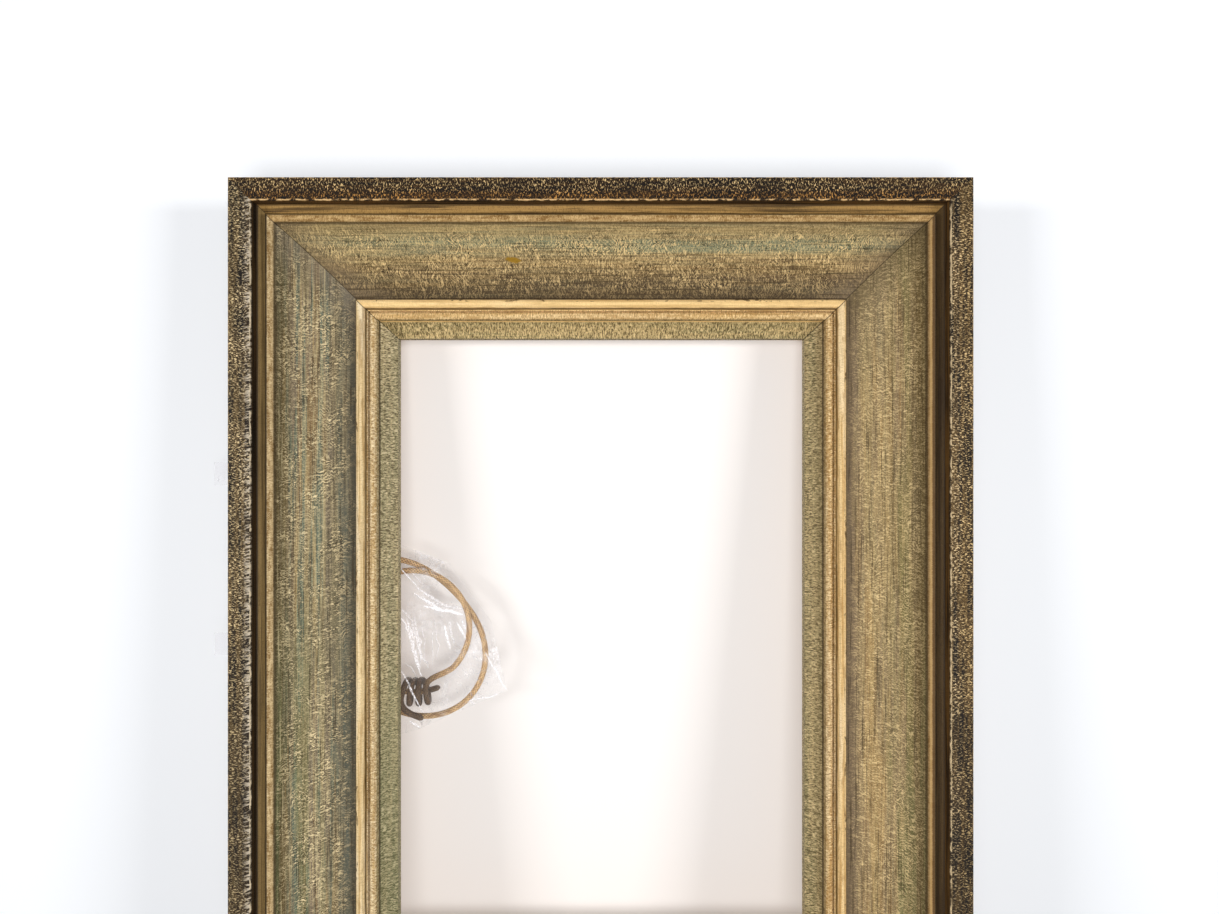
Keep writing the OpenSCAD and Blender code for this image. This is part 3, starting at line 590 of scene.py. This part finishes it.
def cord_finish(cord, tie_from):
    """Yarn that follows the braid: the tube keeps its place round and along the cord."""
    f = Finish("cord")
    lay = f.add("ShaderNodeAttribute", attribute_name="lay").outputs["Vector"]
    c, s, run = f.add("ShaderNodeSeparateXYZ", {0: lay}).outputs
    angle = f.math("ARCTAN2", s, c)
    turn = f.times(run, 2 * math.pi / cord.pitch)
    rounds = cord.lobes / 2
    heights = []
    for way in (1, -1):
        swing = f.plus(f.times(angle, rounds), f.times(turn, way * rounds))
        heights.append(f.math("ABSOLUTE", f.math("SINE", swing)))
    strand = f.most(*heights)
    fibre, patch = (
        f.noise(f.vector(f.times(c, wide), f.times(s, wide), f.times(run, long)), 1.0, 3.0, 0.6)
        for wide, long in ((9.0, 2600.0), (1.6, 190.0))
    )
    # painted shade in the hollows between the strands
    base = f.mix(f.rise(strand, 0.62, 0.97), cord.hollow_shade, cord.yarn)
    base = f.over(base, tint(248, 226, 182), f.rise(fibre, 0.5, 0.7), 0.7)
    base = f.over(base, tint(132, 88, 44), f.rise(patch, 0.48, 0.62), 0.7)
    # painted shade: the tie and the cord's first centimetre or so lie in the frame's shadow behind the rail and
    # are painted dark brown
    tie_and_end_shade = f.most(f.rise(run, tie_from, tie_from + 0.02), f.rise(run, 0.016, 0.008))
    tie_shade_tone = f.mix(f.rise(fibre, 0.50, 0.66), tint(26, 14, 5), tint(118, 78, 36))
    base = f.over(base, tie_shade_tone, tie_and_end_shade, 0.88)
    return f.surface(base, 0.62, f.plus(strand, f.times(fibre, 0.6)), 0.00025, Sheen_Weight=0.15)


def line_between(f, where, a, b, width):
    """1 on the straight line from a to b on the film, as x and z, fading over its width."""
    a, b = Vector((a[0], 0.0, a[1])), Vector((b[0], 0.0, b[1]))
    run = b - a
    from_a = f.vector_math("SUBTRACT", f.vector_math("MULTIPLY", where, (1.0, 0.0, 1.0)), a)
    along = f.vector_math("DOT_PRODUCT", from_a, run / run.length_squared)
    along = f.math("MINIMUM", f.most(along, 0.0), 1.0)
    foot = f.add("ShaderNodeVectorMath", {0: run, "Scale": along}, operation="SCALE").outputs[0]
    away = f.vector_math("DISTANCE", from_a, foot)
    taper = f.plus(0.35, f.times(f.times(along, f.minus(1.0, along)), 2.6))
    return f.rise(f.math("DIVIDE", away, f.times(width, taper)), 1.0, 0.3)


# The film's crease lines, painted as bright glints: from and to, as x and z, and their width
CREASE_GLINTS = (
    ((-0.1410, 0.3440), (-0.1210, 0.3225), 0.0008), ((-0.1303, 0.2997), (-0.1195, 0.2648), 0.0019),
    ((-0.1290, 0.3020), (-0.1235, 0.2830), 0.0013), ((-0.1336, 0.2690), (-0.1190, 0.2410), 0.0009),
    ((-0.1283, 0.2352), (-0.1200, 0.2300), 0.0013), ((-0.1249, 0.3200), (-0.1060, 0.3080), 0.0016),
    ((-0.1180, 0.3110), (-0.0930, 0.3060), 0.0019), ((-0.1360, 0.3060), (-0.1300, 0.2990), 0.0013),
    ((-0.0771, 0.2803), (-0.0630, 0.2547), 0.0007), ((-0.0900, 0.2480), (-0.0640, 0.2540), 0.0006),
    ((-0.1040, 0.2980), (-0.1010, 0.2830), 0.0014), ((-0.0960, 0.3000), (-0.0905, 0.2890), 0.0010),
    ((-0.1220, 0.2960), (-0.1200, 0.2700), 0.0004), ((-0.1130, 0.2990), (-0.1120, 0.2720), 0.0004),
    ((-0.1700, 0.3500), (-0.1500, 0.3180), 0.0009), ((-0.1900, 0.3000), (-0.1620, 0.2650), 0.0011),
)


def film_finish(name, film, haze):
    """Clear film: a thin haze with frosted patches, fine veins and crease lines; the crease lines are painted as
    bright glints and glow, and the frosted patches glow a little as painted reflection.
    """
    f = Finish(name)
    where, _ = f.object_place()
    warp = f.minus(f.noise(where, 90.0, 3.0, 0.6), 0.5)
    shift = f.vector(f.times(warp, 0.007), 0.0, f.times(warp, -0.005))
    bent = f.vector_math("ADD", where, shift)
    crease_glints = 0.0
    for a, b, width in CREASE_GLINTS:
        crease_glints = f.most(crease_glints, line_between(f, bent, a, b, width))
    veins = f.noise(where, 42.0, 3.0, 0.6, 1.6)
    broken = f.noise(where, 30.0, 2.0, 0.5)
    fine = f.times(f.rise(f.math("ABSOLUTE", f.minus(veins, 0.5)), 0.010, 0.002), f.rise(broken, 0.50, 0.62))
    frost_and_reflection = f.rise(f.noise(where, 24.0, 2.0, 0.5, 0.5), 0.52, 0.66)
    frost_and_reflection = f.times(frost_and_reflection, f.rise(f.noise(where, 260.0, 3.0, 0.6), 0.40, 0.60))
    edge = f.add("ShaderNodeLayerWeight", {"Blend": 0.25}).outputs["Facing"]
    grain = f.rise(f.noise(where, 700.0, 2.0, 0.6), 0.34, 0.6)
    line = f.most(f.times(crease_glints, f.plus(0.25, f.times(grain, 0.6))), f.times(fine, 0.35))
    cover = f.plus(f.plus(haze, f.times(frost_and_reflection, 0.22)), f.plus(line, f.times(edge, 0.15)))
    ripples = f.noise(where, 90.0, 3.0, 0.6, 0.8)
    # painted glints: the crease lines and, faintly, the frosted patches glow as reflections of the lamps would
    glint_glow = f.plus(f.times(crease_glints, 0.28), f.times(frost_and_reflection, 0.12))
    return f.surface(
        film, 0.12, f.plus(ripples, line), 0.0004, Alpha=f.math("MINIMUM", cover, 1.0),
        Emission_Color=(1.0, 0.98, 0.96, 1.0), Emission_Strength=glint_glow,
    )


# The cord's route in millimetres, as its solid has it in the CAD model
CORD_D = 4.0
LAYER_STEP = CORD_D + 0.6
OUTER_LOOP_C = (1.0, -1.0)
OUTER_LOOP_R = 51.5
OUTER_LOOP_SKEW = 7.0
INNER_LOOP_C = (5.8, 6.6)
INNER_LOOP_R = 38.3
TIE_R = INNER_LOOP_R + 6.2
TIE_TURN_R = CORD_D + 3.7
TIE_STEP = CORD_D + 1.5
TIE_TURNS = 3
TIE_START = -77.0
TIE_END = TIE_START - math.degrees(TIE_TURNS * TIE_STEP / TIE_R)
TIE_PHASES = (-110.0, 360.0 * TIE_TURNS - 90.0)
CORD_START = -72.0
LEAVE_TIE, REACH_OUTER = 38.0, 150.0
DIP_FROM, DIP_TO = 393.0, 432.0
LEAVE_OUTER, REACH_INNER = 405.0, 520.0
LEAVE_INNER = 690.0
LEAD_WAY = 9.0
TAIL_END = Vector((10.0, LAYER_STEP / 2 - TIE_TURN_R, -52.3))
TAIL_WAYS = (8.0, 10.0)
TAIL_SLOPE = 21.0
TIE_FROM = 575.0
COIL = Vector((-SIGHT_HALF_W - 2.4 * MM, BACK_Y + 8.3 * MM, CENTRE_Z + 2 * MM))


def smooth(t):
    s = min(1.0, max(0.0, t))
    return s * s * (3 - 2 * s)


def turned(centre, angle, r):
    a = math.radians(angle)
    return Vector((centre[0] + r * math.cos(a), 0.0, centre[1] + r * math.sin(a)))


def outer_loop(angle, margin=0.0):
    skew = OUTER_LOOP_SKEW * math.sin(2 * math.radians(angle))
    return turned(OUTER_LOOP_C, angle, OUTER_LOOP_R + margin - skew)


def loop_point(travel):
    """A point of the two loops, after so many degrees of travel from the cord's start."""
    angle = CORD_START - travel
    out = smooth((travel - LEAVE_TIE) / (REACH_OUTER - LEAVE_TIE))
    inward = smooth((travel - LEAVE_OUTER) / (REACH_INNER - LEAVE_OUTER))
    first = turned(INNER_LOOP_C, angle, TIE_R).lerp(outer_loop(angle), out)
    flat = first.lerp(turned(INNER_LOOP_C, angle, INNER_LOOP_R), inward)
    flat.y = LAYER_STEP * (0.5 - smooth((travel - DIP_FROM) / (DIP_TO - DIP_FROM)))
    return flat


def tie_point(t):
    """A point of the tie, from 0 at its start to 1 at its end."""
    phase = math.radians(TIE_PHASES[0] + (TIE_PHASES[1] - TIE_PHASES[0]) * t)
    angle = TIE_START + (TIE_END - TIE_START) * t
    place = turned(INNER_LOOP_C, angle, TIE_R + TIE_TURN_R * math.cos(phase))
    place.y = LAYER_STEP / 2 + TIE_TURN_R * math.sin(phase)
    return place


def bend_point(p, p_way, q, q_way, t):
    s = 1 - t
    return s**3 * p + 3 * s * s * t * (p + p_way) + 3 * s * t * t * (q - q_way) + t**3 * q


def cord_route(loop_step, tie_step, bend_steps):
    """The whole route in metres; both of its ends run straight for one diameter."""
    start_way = (loop_point(0) - loop_point(1)).normalized()
    lead = loop_point(LEAVE_INNER)
    lead_way = LEAD_WAY * (lead - loop_point(LEAVE_INNER - 1)).normalized()
    to_tie = LEAD_WAY * (tie_point(0.002) - tie_point(0)).normalized()
    off_tie = TAIL_WAYS[0] * (tie_point(1) - tie_point(0.998)).normalized()
    slope = math.radians(TAIL_SLOPE)
    tail_way = Vector((math.cos(slope), 0.0, -math.sin(slope)))
    loops = int(LEAVE_INNER / loop_step)
    turns = round((TIE_PHASES[1] - TIE_PHASES[0]) / tie_step)
    points = [loop_point(0) + CORD_D * start_way]
    points += [loop_point(i * loop_step) for i in range(loops)]
    points += [bend_point(lead, lead_way, tie_point(0), to_tie, i / bend_steps) for i in range(bend_steps)]
    points += [tie_point(i / turns) for i in range(turns + 1)]
    points += [
        bend_point(tie_point(1), off_tie, TAIL_END, TAIL_WAYS[1] * tail_way, i / bend_steps)
        for i in range(1, bend_steps + 1)
    ]
    points.append(TAIL_END + CORD_D * tail_way)
    return [COIL + MM * p for p in points]


def evenly(route, step):
    """The route again, with points an even step apart."""
    runs = [0.0]
    for a, b in zip(route, route[1:]):
        runs.append(runs[-1] + (b - a).length)
    count = round(runs[-1] / step)
    points, i = [], 0
    for k in range(count + 1):
        want = runs[-1] * k / count
        while i < len(route) - 2 and runs[i + 1] < want:
            i += 1
        points.append(route[i].lerp(route[i + 1], (want - runs[i]) / (runs[i + 1] - runs[i])))
    return points, runs[-1]


def ways_of(route):
    """The way along the route at each point, with a side that never twists, as matrices."""
    last = len(route) - 1
    side = Vector((0.0, 1.0, 0.0))
    frames = []
    for i, point in enumerate(route):
        way = (route[min(i + 1, last)] - route[max(i - 1, 0)]).normalized()
        side = (side - side.dot(way) * way).normalized()
        turn = Matrix((side, way.cross(side), way)).transposed().to_4x4()
        frames.append(Matrix.Translation(point) @ turn)
    return frames


def mesh_object(name, bm, material):
    """An object of the shape, which already lies in its place."""
    mesh = bpy.data.meshes.new(name)
    bm.to_mesh(mesh)
    bm.free()
    mesh.materials.append(material)
    made = bpy.data.objects.new(name, mesh)
    bpy.context.scene.collection.objects.link(made)
    return made


def keep(name, bm, material, body):
    """A smooth piece of the shape, which rides on its body."""
    piece = mesh_object(name, bm, material)
    piece.data.shade_smooth()
    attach(piece, body)
    return piece


def dress(node, material):
    """Gives a node of the CAD model its finish."""
    node.data.materials.clear()
    node.data.materials.append(material)


# The photo's width in pixels, the camera's focal length in them, and where the camera stands
PHOTO_W, FOCAL = 1219, 836
CAMERA_AT = (0.0052, -0.522, 0.410)


class PICTUREFRAME_OT_camera(Operator):
    """Put the camera straight in front of the frame's upper half"""

    bl_idname = "picture_frame.camera"
    bl_label = "Camera"

    def execute(self, context):
        data = bpy.data.cameras.new("camera")
        data.lens = data.sensor_width * FOCAL / PHOTO_W
        data.clip_start = 0.01
        camera = bpy.data.objects.new("camera", data)
        camera.location = CAMERA_AT
        camera.rotation_euler = (math.radians(90), 0, 0)
        context.scene.collection.objects.link(camera)
        context.scene.camera = camera
        return {"FINISHED"}


class PICTUREFRAME_OT_cord(Operator):
    """Make the braided hanging cord on its two loops and its tie"""

    bl_idname = "picture_frame.cord"
    bl_label = "Hanging cord"

    def execute(self, context):
        cord = context.scene.picture_frame.cord
        ring_step, sides = ((0.0005, 30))
        route, run = evenly(cord_route(1, 3, 24), ring_step)
        frames = ways_of(route)
        radius = cord.diameter / 2
        bm = bmesh.new()
        lay = bm.verts.layers.float_vector.new("lay")
        circle = bmesh.ops.create_circle(bm, segments=sides, radius=radius)["verts"]
        for vert in circle:
            vert[lay] = Vector((vert.co.x / radius, vert.co.y / radius, 0.0))
        bmesh.ops.transform(bm, matrix=frames[0], verts=circle)
        rings = [circle]
        edges = list(bm.edges)
        for i in range(1, len(frames)):
            grown = bmesh.ops.extrude_edge_only(bm, edges=edges)["geom"]
            ring = [g for g in grown if isinstance(g, bmesh.types.BMVert)]
            edges = [g for g in grown if isinstance(g, bmesh.types.BMEdge)]
            bmesh.ops.transform(bm, matrix=frames[i] @ frames[i - 1].inverted(), verts=ring)
            for vert in ring:
                vert[lay] = Vector((vert[lay].x, vert[lay].y, run * i / (len(frames) - 1)))
            rings.append(ring)
        rounds = cord.lobes / 2
        for i, ring in enumerate(rings):
            from_end = min(i, len(rings) - 1 - i) * ring_step
            tip = math.sqrt(min(1.0, (from_end + 0.15 * radius) / radius))
            for vert in ring:
                angle = math.atan2(vert[lay].y, vert[lay].x)
                turn = 2 * math.pi * vert[lay].z / cord.pitch
                strand = max(abs(math.sin(rounds * (angle + way * turn))) for way in (1, -1))
                sink = cord.relief * (1 - strand) * 2
                vert.co = route[i] + (vert.co - route[i]) * ((radius - sink) * tip / radius)
        for ring in (rings[0], rings[-1]):
            bmesh.ops.contextual_create(bm, geom=ring)
        bmesh.ops.recalc_face_normals(bm, faces=bm.faces)
        piece = keep("cord", bm, cord_finish(cord, TIE_FROM * MM), "frame")
        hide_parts("hanging_cord")
        return {"FINISHED"}


# The bag in millimetres: two films sealed along their edges, parted by the coil
BAG_REACH = OUTER_LOOP_R + OUTER_LOOP_SKEW + CORD_D / 2
BAG_OUTLINE = (
    (2.5 - BAG_REACH, -BAG_REACH - 19.5), (12.0, 1.0 - BAG_REACH), (BAG_REACH + 9.5, 26.5 - BAG_REACH),
    (BAG_REACH - 1.0, 12.0), (BAG_REACH / 2 + 2.0, 50.0), (-2.0, BAG_REACH + 3.0), (-42.0, 118.0),
    (-90.0, 118.0), (-BAG_REACH - 6.5, 0.0),
)
BAG_FRONT = 0.3
COIL_BACK = 12.6
TIE_BACK = 20.3


def to_outline(x, z):
    """Distance of a point of the bag from its edge, in millimetres."""
    best = 1e9
    for (ax, az), (bx, bz) in zip(BAG_OUTLINE, BAG_OUTLINE[1:] + BAG_OUTLINE[:1]):
        dx, dz = bx - ax, bz - az
        t = min(1.0, max(0.0, ((x - ax) * dx + (z - az) * dz) / (dx * dx + dz * dz)))
        best = min(best, math.hypot(x - ax - t * dx, z - az - t * dz))
    return best


def pouch_depth(x, z):
    """How far the back film stands behind the plane of the frame's back, in millimetres."""
    angle = math.degrees(math.atan2(z - OUTER_LOOP_C[1], x - OUTER_LOOP_C[0]))
    rim = outer_loop(angle, CORD_D / 2 + 1.0)
    reach = math.hypot(rim.x - OUTER_LOOP_C[0], rim.z - OUTER_LOOP_C[1])
    away = math.hypot(x - OUTER_LOOP_C[0], z - OUTER_LOOP_C[1]) - reach
    edge = to_outline(x, z)
    over_coil = COIL_BACK + 0.8
    if away > 0:
        over_coil *= smooth(edge / (edge + away + 0.01)) if edge > 0 else 0.0
    tie = turned(INNER_LOOP_C, (TIE_START + TIE_END) / 2, TIE_R)
    from_tie = math.hypot(x - tie.x, z - tie.z) - (TIE_TURN_R + CORD_D / 2 + 1.0)
    over_tie = (TIE_BACK + 0.8) * (1 - smooth(from_tie / 26.0)) if from_tie > 0 else TIE_BACK + 0.8
    return max(over_coil, over_tie * smooth(edge / 6.0))


def film_sheet(bm, depth_at, step):
    """One film of the bag, cut into small faces and laid at the depth that depth_at gives."""
    corners = [bm.verts.new((x, 0.0, z)) for x, z in BAG_OUTLINE]
    face = bm.faces.new(corners)
    parts = {face, *face.verts, *face.edges}
    for axis in (0, 2):
        spots = [corner[axis // 2] for corner in BAG_OUTLINE]
        place = math.floor(min(spots) / step) * step + step
        while place < max(spots):
            normal = Vector((axis == 0, 0, axis == 2))
            at = Vector((place, 0, place))
            cut = bmesh.ops.bisect_plane(
                bm, geom=[p for p in parts if p.is_valid], dist=0.001, plane_co=at, plane_no=normal
            )
            parts = set(cut["geom"]) | {p for p in parts if p.is_valid}
            place += step
    verts = [p for p in parts if p.is_valid and isinstance(p, bmesh.types.BMVert)]
    for vert in verts:
        vert.co.y = depth_at(vert.co.x, vert.co.z)
    return verts


class PICTUREFRAME_OT_bag(Operator):
    """Make the clear bag that holds the cord"""

    bl_idname = "picture_frame.bag"
    bl_label = "Cord bag"

    def execute(self, context):
        film = context.scene.picture_frame.film
        wrinkle = film.wrinkle / MM
        step = 2.5

        def crease(x, z, seed, grain):
            folds = 1 - abs(2 * noise.noise(Vector((x / grain, z / grain, seed))))
            return wrinkle * (0.7 * folds**2 + 0.3 * noise.noise(Vector((x / 4, z / 4, seed + 7))))

        def inside(x, z):
            return smooth((to_outline(x, z) - 0.5) / 8.0)

        def front(x, z):
            free = smooth((x - 3.5) / 6.0)
            return BAG_FRONT - inside(x, z) * free * (0.4 + crease(x, z, 3.0, 17.0))

        def back(x, z):
            return BAG_FRONT + 0.1 + pouch_depth(x, z) + inside(x, z) * (0.3 + crease(x, z, 9.0, 15.0))

        bm = bmesh.new()
        film_sheet(bm, front, step)
        film_sheet(bm, back, step)
        place = Matrix.Translation((COIL.x, BACK_Y, COIL.z)) @ Matrix.Scale(MM, 4)
        bmesh.ops.transform(bm, matrix=place, verts=bm.verts)
        piece = keep("bag", bm, film_finish("clear_film", film.film, film.haze), "frame")
        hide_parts("cord_bag")
        return {"FINISHED"}


class PICTUREFRAME_OT_tape(Operator):
    """Make the two strips of clear tape that hold the bag"""

    bl_idname = "picture_frame.tape"
    bl_label = "Tape"

    def execute(self, context):
        material = film_finish("clear_tape", tint(226, 220, 230), 0.14)
        for name in ("upper", "lower"):
            low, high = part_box("bag_tape_" + name)
            bm = bmesh.new()
            bmesh.ops.create_grid(bm, x_segments=24, y_segments=6, size=0.5)
            for vert in bm.verts:
                across, up = vert.co.x + 0.5, vert.co.y + 0.5
                step = smooth((across - 0.855) / 0.06)
                ripple = 0.00012 * noise.noise(Vector((across * 14, up * 3, len(name))))
                vert.co = Vector((
                    low.x + across * (high.x - low.x),
                    low.y + 0.0002 + step * (high.y - low.y - 0.0002) + abs(ripple),
                    low.z + up * (high.z - low.z),
                ))
            piece = keep("tape_" + name, bm, material, "frame")
            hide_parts("bag_tape_" + name)
        return {"FINISHED"}


class PICTUREFRAME_OT_rails(Operator):
    """Finish the edge strips, the scoop rails and the liner"""

    bl_idname = "picture_frame.rails"
    bl_label = "Rails"

    def execute(self, context):
        paint = context.scene.picture_frame.finish
        for moulding, make in (("edge", edge_finish), ("scoop", scoop_finish), ("liner", liner_finish)):
            for side in SIDES:
                dress(frame["nodes"][f"{moulding}_rail_{side}"], make(side, paint))
        return {"FINISHED"}


class PICTUREFRAME_OT_hardware(Operator):
    """Finish the pins, brads, fasteners, buttons, hangers and screws"""

    bl_idname = "picture_frame.hardware"
    bl_label = "Hardware"

    def execute(self, context):
        steel = metal_finish("steel", tint(150, 150, 150), tint(98, 96, 92), 0.4)
        brass = metal_finish("brass", tint(190, 164, 108), tint(140, 114, 70), 0.34)
        for row in frame["record"]["subparts"]:
            made = {"steel": steel, "brass": brass}.get(row["material_slot"])
            if made:
                dress(frame["nodes"][row["node"]], made)
        return {"FINISHED"}


# The boards' own light, and where the floor and the wall's painted warm bounce start and end to fade
BOARD_GLOW = 0.18
FLOOR_FADE = 0.7, 1.3
WARM_FADE = 0.06, 0.02  # past the opening's sides


def board_finish(name):
    """The pale board of the floor or wall: it shows near white and keeps the frame's shade.

    The wall is a little warmer behind the opening, a painted warm bounce from the frame's gilded inner faces, and
    it isn't there for who looks from behind it.
    The floor fades away round the frame.
    """
    f = Finish(name)
    seen = f.add("ShaderNodeLightPath").outputs
    lit = f.most(seen["Is Camera Ray"], f.most(seen["Is Glossy Ray"], seen["Is Transmission Ray"]))
    cool, cool_glow = tint(225, 227, 230), tint(252, 253, 255)
    where, (across, _, up) = f.object_place()
    if name == "wall":
        # painted warm bounce: behind the opening the wall's colour and glow are warmer, standing in for light
        # thrown back by the frame's gilded inner faces
        behind = f.rise(f.minus(f.math("ABSOLUTE", across), SIGHT_HALF_W), *WARM_FADE)
        behind = f.times(behind, f.rise(up, FRAME_H, FRAME_H - 0.05))
        tone = f.mix(behind, cool, tint(224, 220, 217))
        glow_tone = f.mix(behind, cool_glow, tint(253, 244, 239))
    else:
        tone, glow_tone = (*cool, 1.0), (*cool_glow, 1.0)
    diffuse = f.add("ShaderNodeBsdfDiffuse", {"Color": tone})
    glow = f.add("ShaderNodeEmission", {"Color": glow_tone, "Strength": f.times(lit, BOARD_GLOW)})
    surface = f.add("ShaderNodeAddShader", {0: diffuse.outputs[0], 1: glow.outputs[0]})
    if name == "wall":
        hidden = f.add("ShaderNodeNewGeometry").outputs["Backfacing"]
    else:
        hidden = f.rise(f.vector_math("DISTANCE", where, (0.0, 0.0, 0.0)), *FLOOR_FADE)
    gone = f.add("ShaderNodeBsdfTransparent")
    surface = f.add("ShaderNodeMixShader", {0: hidden, 1: surface.outputs[0], 2: gone.outputs[0]})
    f.add("ShaderNodeOutputMaterial", {"Surface": surface.outputs[0]})
    return f.made


BOARD_REACH = 3.0

# The lamps: where they stand, their width and height, and their share of the lamps' power
LAMPS = {
    "lamp_left": ((-2.1, -1.9, 0.42), (0.8, 0.4), 0.92),
    "lamp_right": ((2.1, -1.9, 0.42), (0.8, 0.4), 1.0),
    "lamp_low": ((0, -0.8, 0.2), (0.36, 0.2), 0.083),
    "lamp_back": ((0, 2.2, 1.6), (0.36, 0.2), 0.7),
}
LAMPS_AIM = Vector((0.0, 0.0, 0.42))


class PICTUREFRAME_OT_stage(Operator):
    """Make the floor, the wall that the frame leans on, and the lamps"""

    bl_idname = "picture_frame.stage"
    bl_label = "Stage"

    def execute(self, context):
        stage = context.scene.picture_frame.stage
        scene = context.scene
        foot = BACK_Y + FRAME_H * math.tan(stage.lean)
        head = foot - BOARD_REACH * math.tan(stage.lean)
        for name, near, far in (
            ("floor", (-BOARD_REACH, 0), (BOARD_REACH, 0)), ("wall", (foot, 0), (head, BOARD_REACH)),
        ):
            bm = bmesh.new()
            corners = (-BOARD_REACH, *near), (BOARD_REACH, *near), (BOARD_REACH, *far), (-BOARD_REACH, *far)
            bm.faces.new([bm.verts.new(corner) for corner in corners])
            board = mesh_object(name, bm, board_finish(name))
            board.visible_diffuse = False
            board.visible_shadow = name == "floor"
        for name, (place, size, part) in LAMPS.items():
            data = bpy.data.lights.new(name, "AREA")
            data.shape = "RECTANGLE"
            data.size, data.size_y = size
            data.energy = stage.lamp_power * part
            lamp = bpy.data.objects.new(name, data)
            lamp.location = place
            lamp.rotation_euler = (LAMPS_AIM - lamp.location).to_track_quat("-Z", "Y").to_euler()
            scene.collection.objects.link(lamp)
        f = Finish("studio", "worlds")
        seen = f.add("ShaderNodeLightPath").outputs["Is Camera Ray"]
        strength = f.add("ShaderNodeMix", {0: seen, 2: stage.fill, 3: 1.0}, data_type="FLOAT").outputs[0]
        sky = f.add("ShaderNodeBackground", {"Color": (*tint(250, 251, 255), 1.0), "Strength": strength})
        f.add("ShaderNodeOutputWorld", {"Surface": sky.outputs[0]})
        scene.world = f.made
        scene.view_settings.view_transform = "Standard"
        return {"FINISHED"}


OPERATORS = (
    PICTUREFRAME_OT_camera, PICTUREFRAME_OT_cord, PICTUREFRAME_OT_bag, PICTUREFRAME_OT_tape,
    PICTUREFRAME_OT_rails, PICTUREFRAME_OT_hardware, PICTUREFRAME_OT_stage,
)


class PICTUREFRAME_PT_panel(Panel):
    """Lists the frame's pieces and their settings"""

    bl_label = "Picture frame"
    bl_idname = "PICTUREFRAME_PT_panel"
    bl_space_type = "VIEW_3D"
    bl_region_type = "UI"
    bl_category = "Picture frame"

    def draw(self, context):
        settings = context.scene.picture_frame
        for operator in OPERATORS:
            self.layout.operator(operator.bl_idname)
        for group in (settings.cord, settings.film, settings.finish, settings.stage):
            box = self.layout.box()
            for name in group.bl_rna.properties.keys():
                if name not in ("rna_type", "name"):
                    box.prop(group, name)


CLASSES = (
    CordSettings, FilmSettings, FinishSettings, StageSettings, PictureFrameSettings,
    *OPERATORS, PICTUREFRAME_PT_panel,
)


def register():
    for cls in CLASSES:
        bpy.utils.register_class(cls)
    bpy.types.Scene.picture_frame = PointerProperty(type=PictureFrameSettings)


def unregister():
    del bpy.types.Scene.picture_frame
    for cls in reversed(CLASSES):
        bpy.utils.unregister_class(cls)


def main():
    register()
    for operator in OPERATORS:
        group, name = operator.bl_idname.split(".")
        getattr(getattr(bpy.ops, group), name)()


if __name__ == "__main__":
    main()
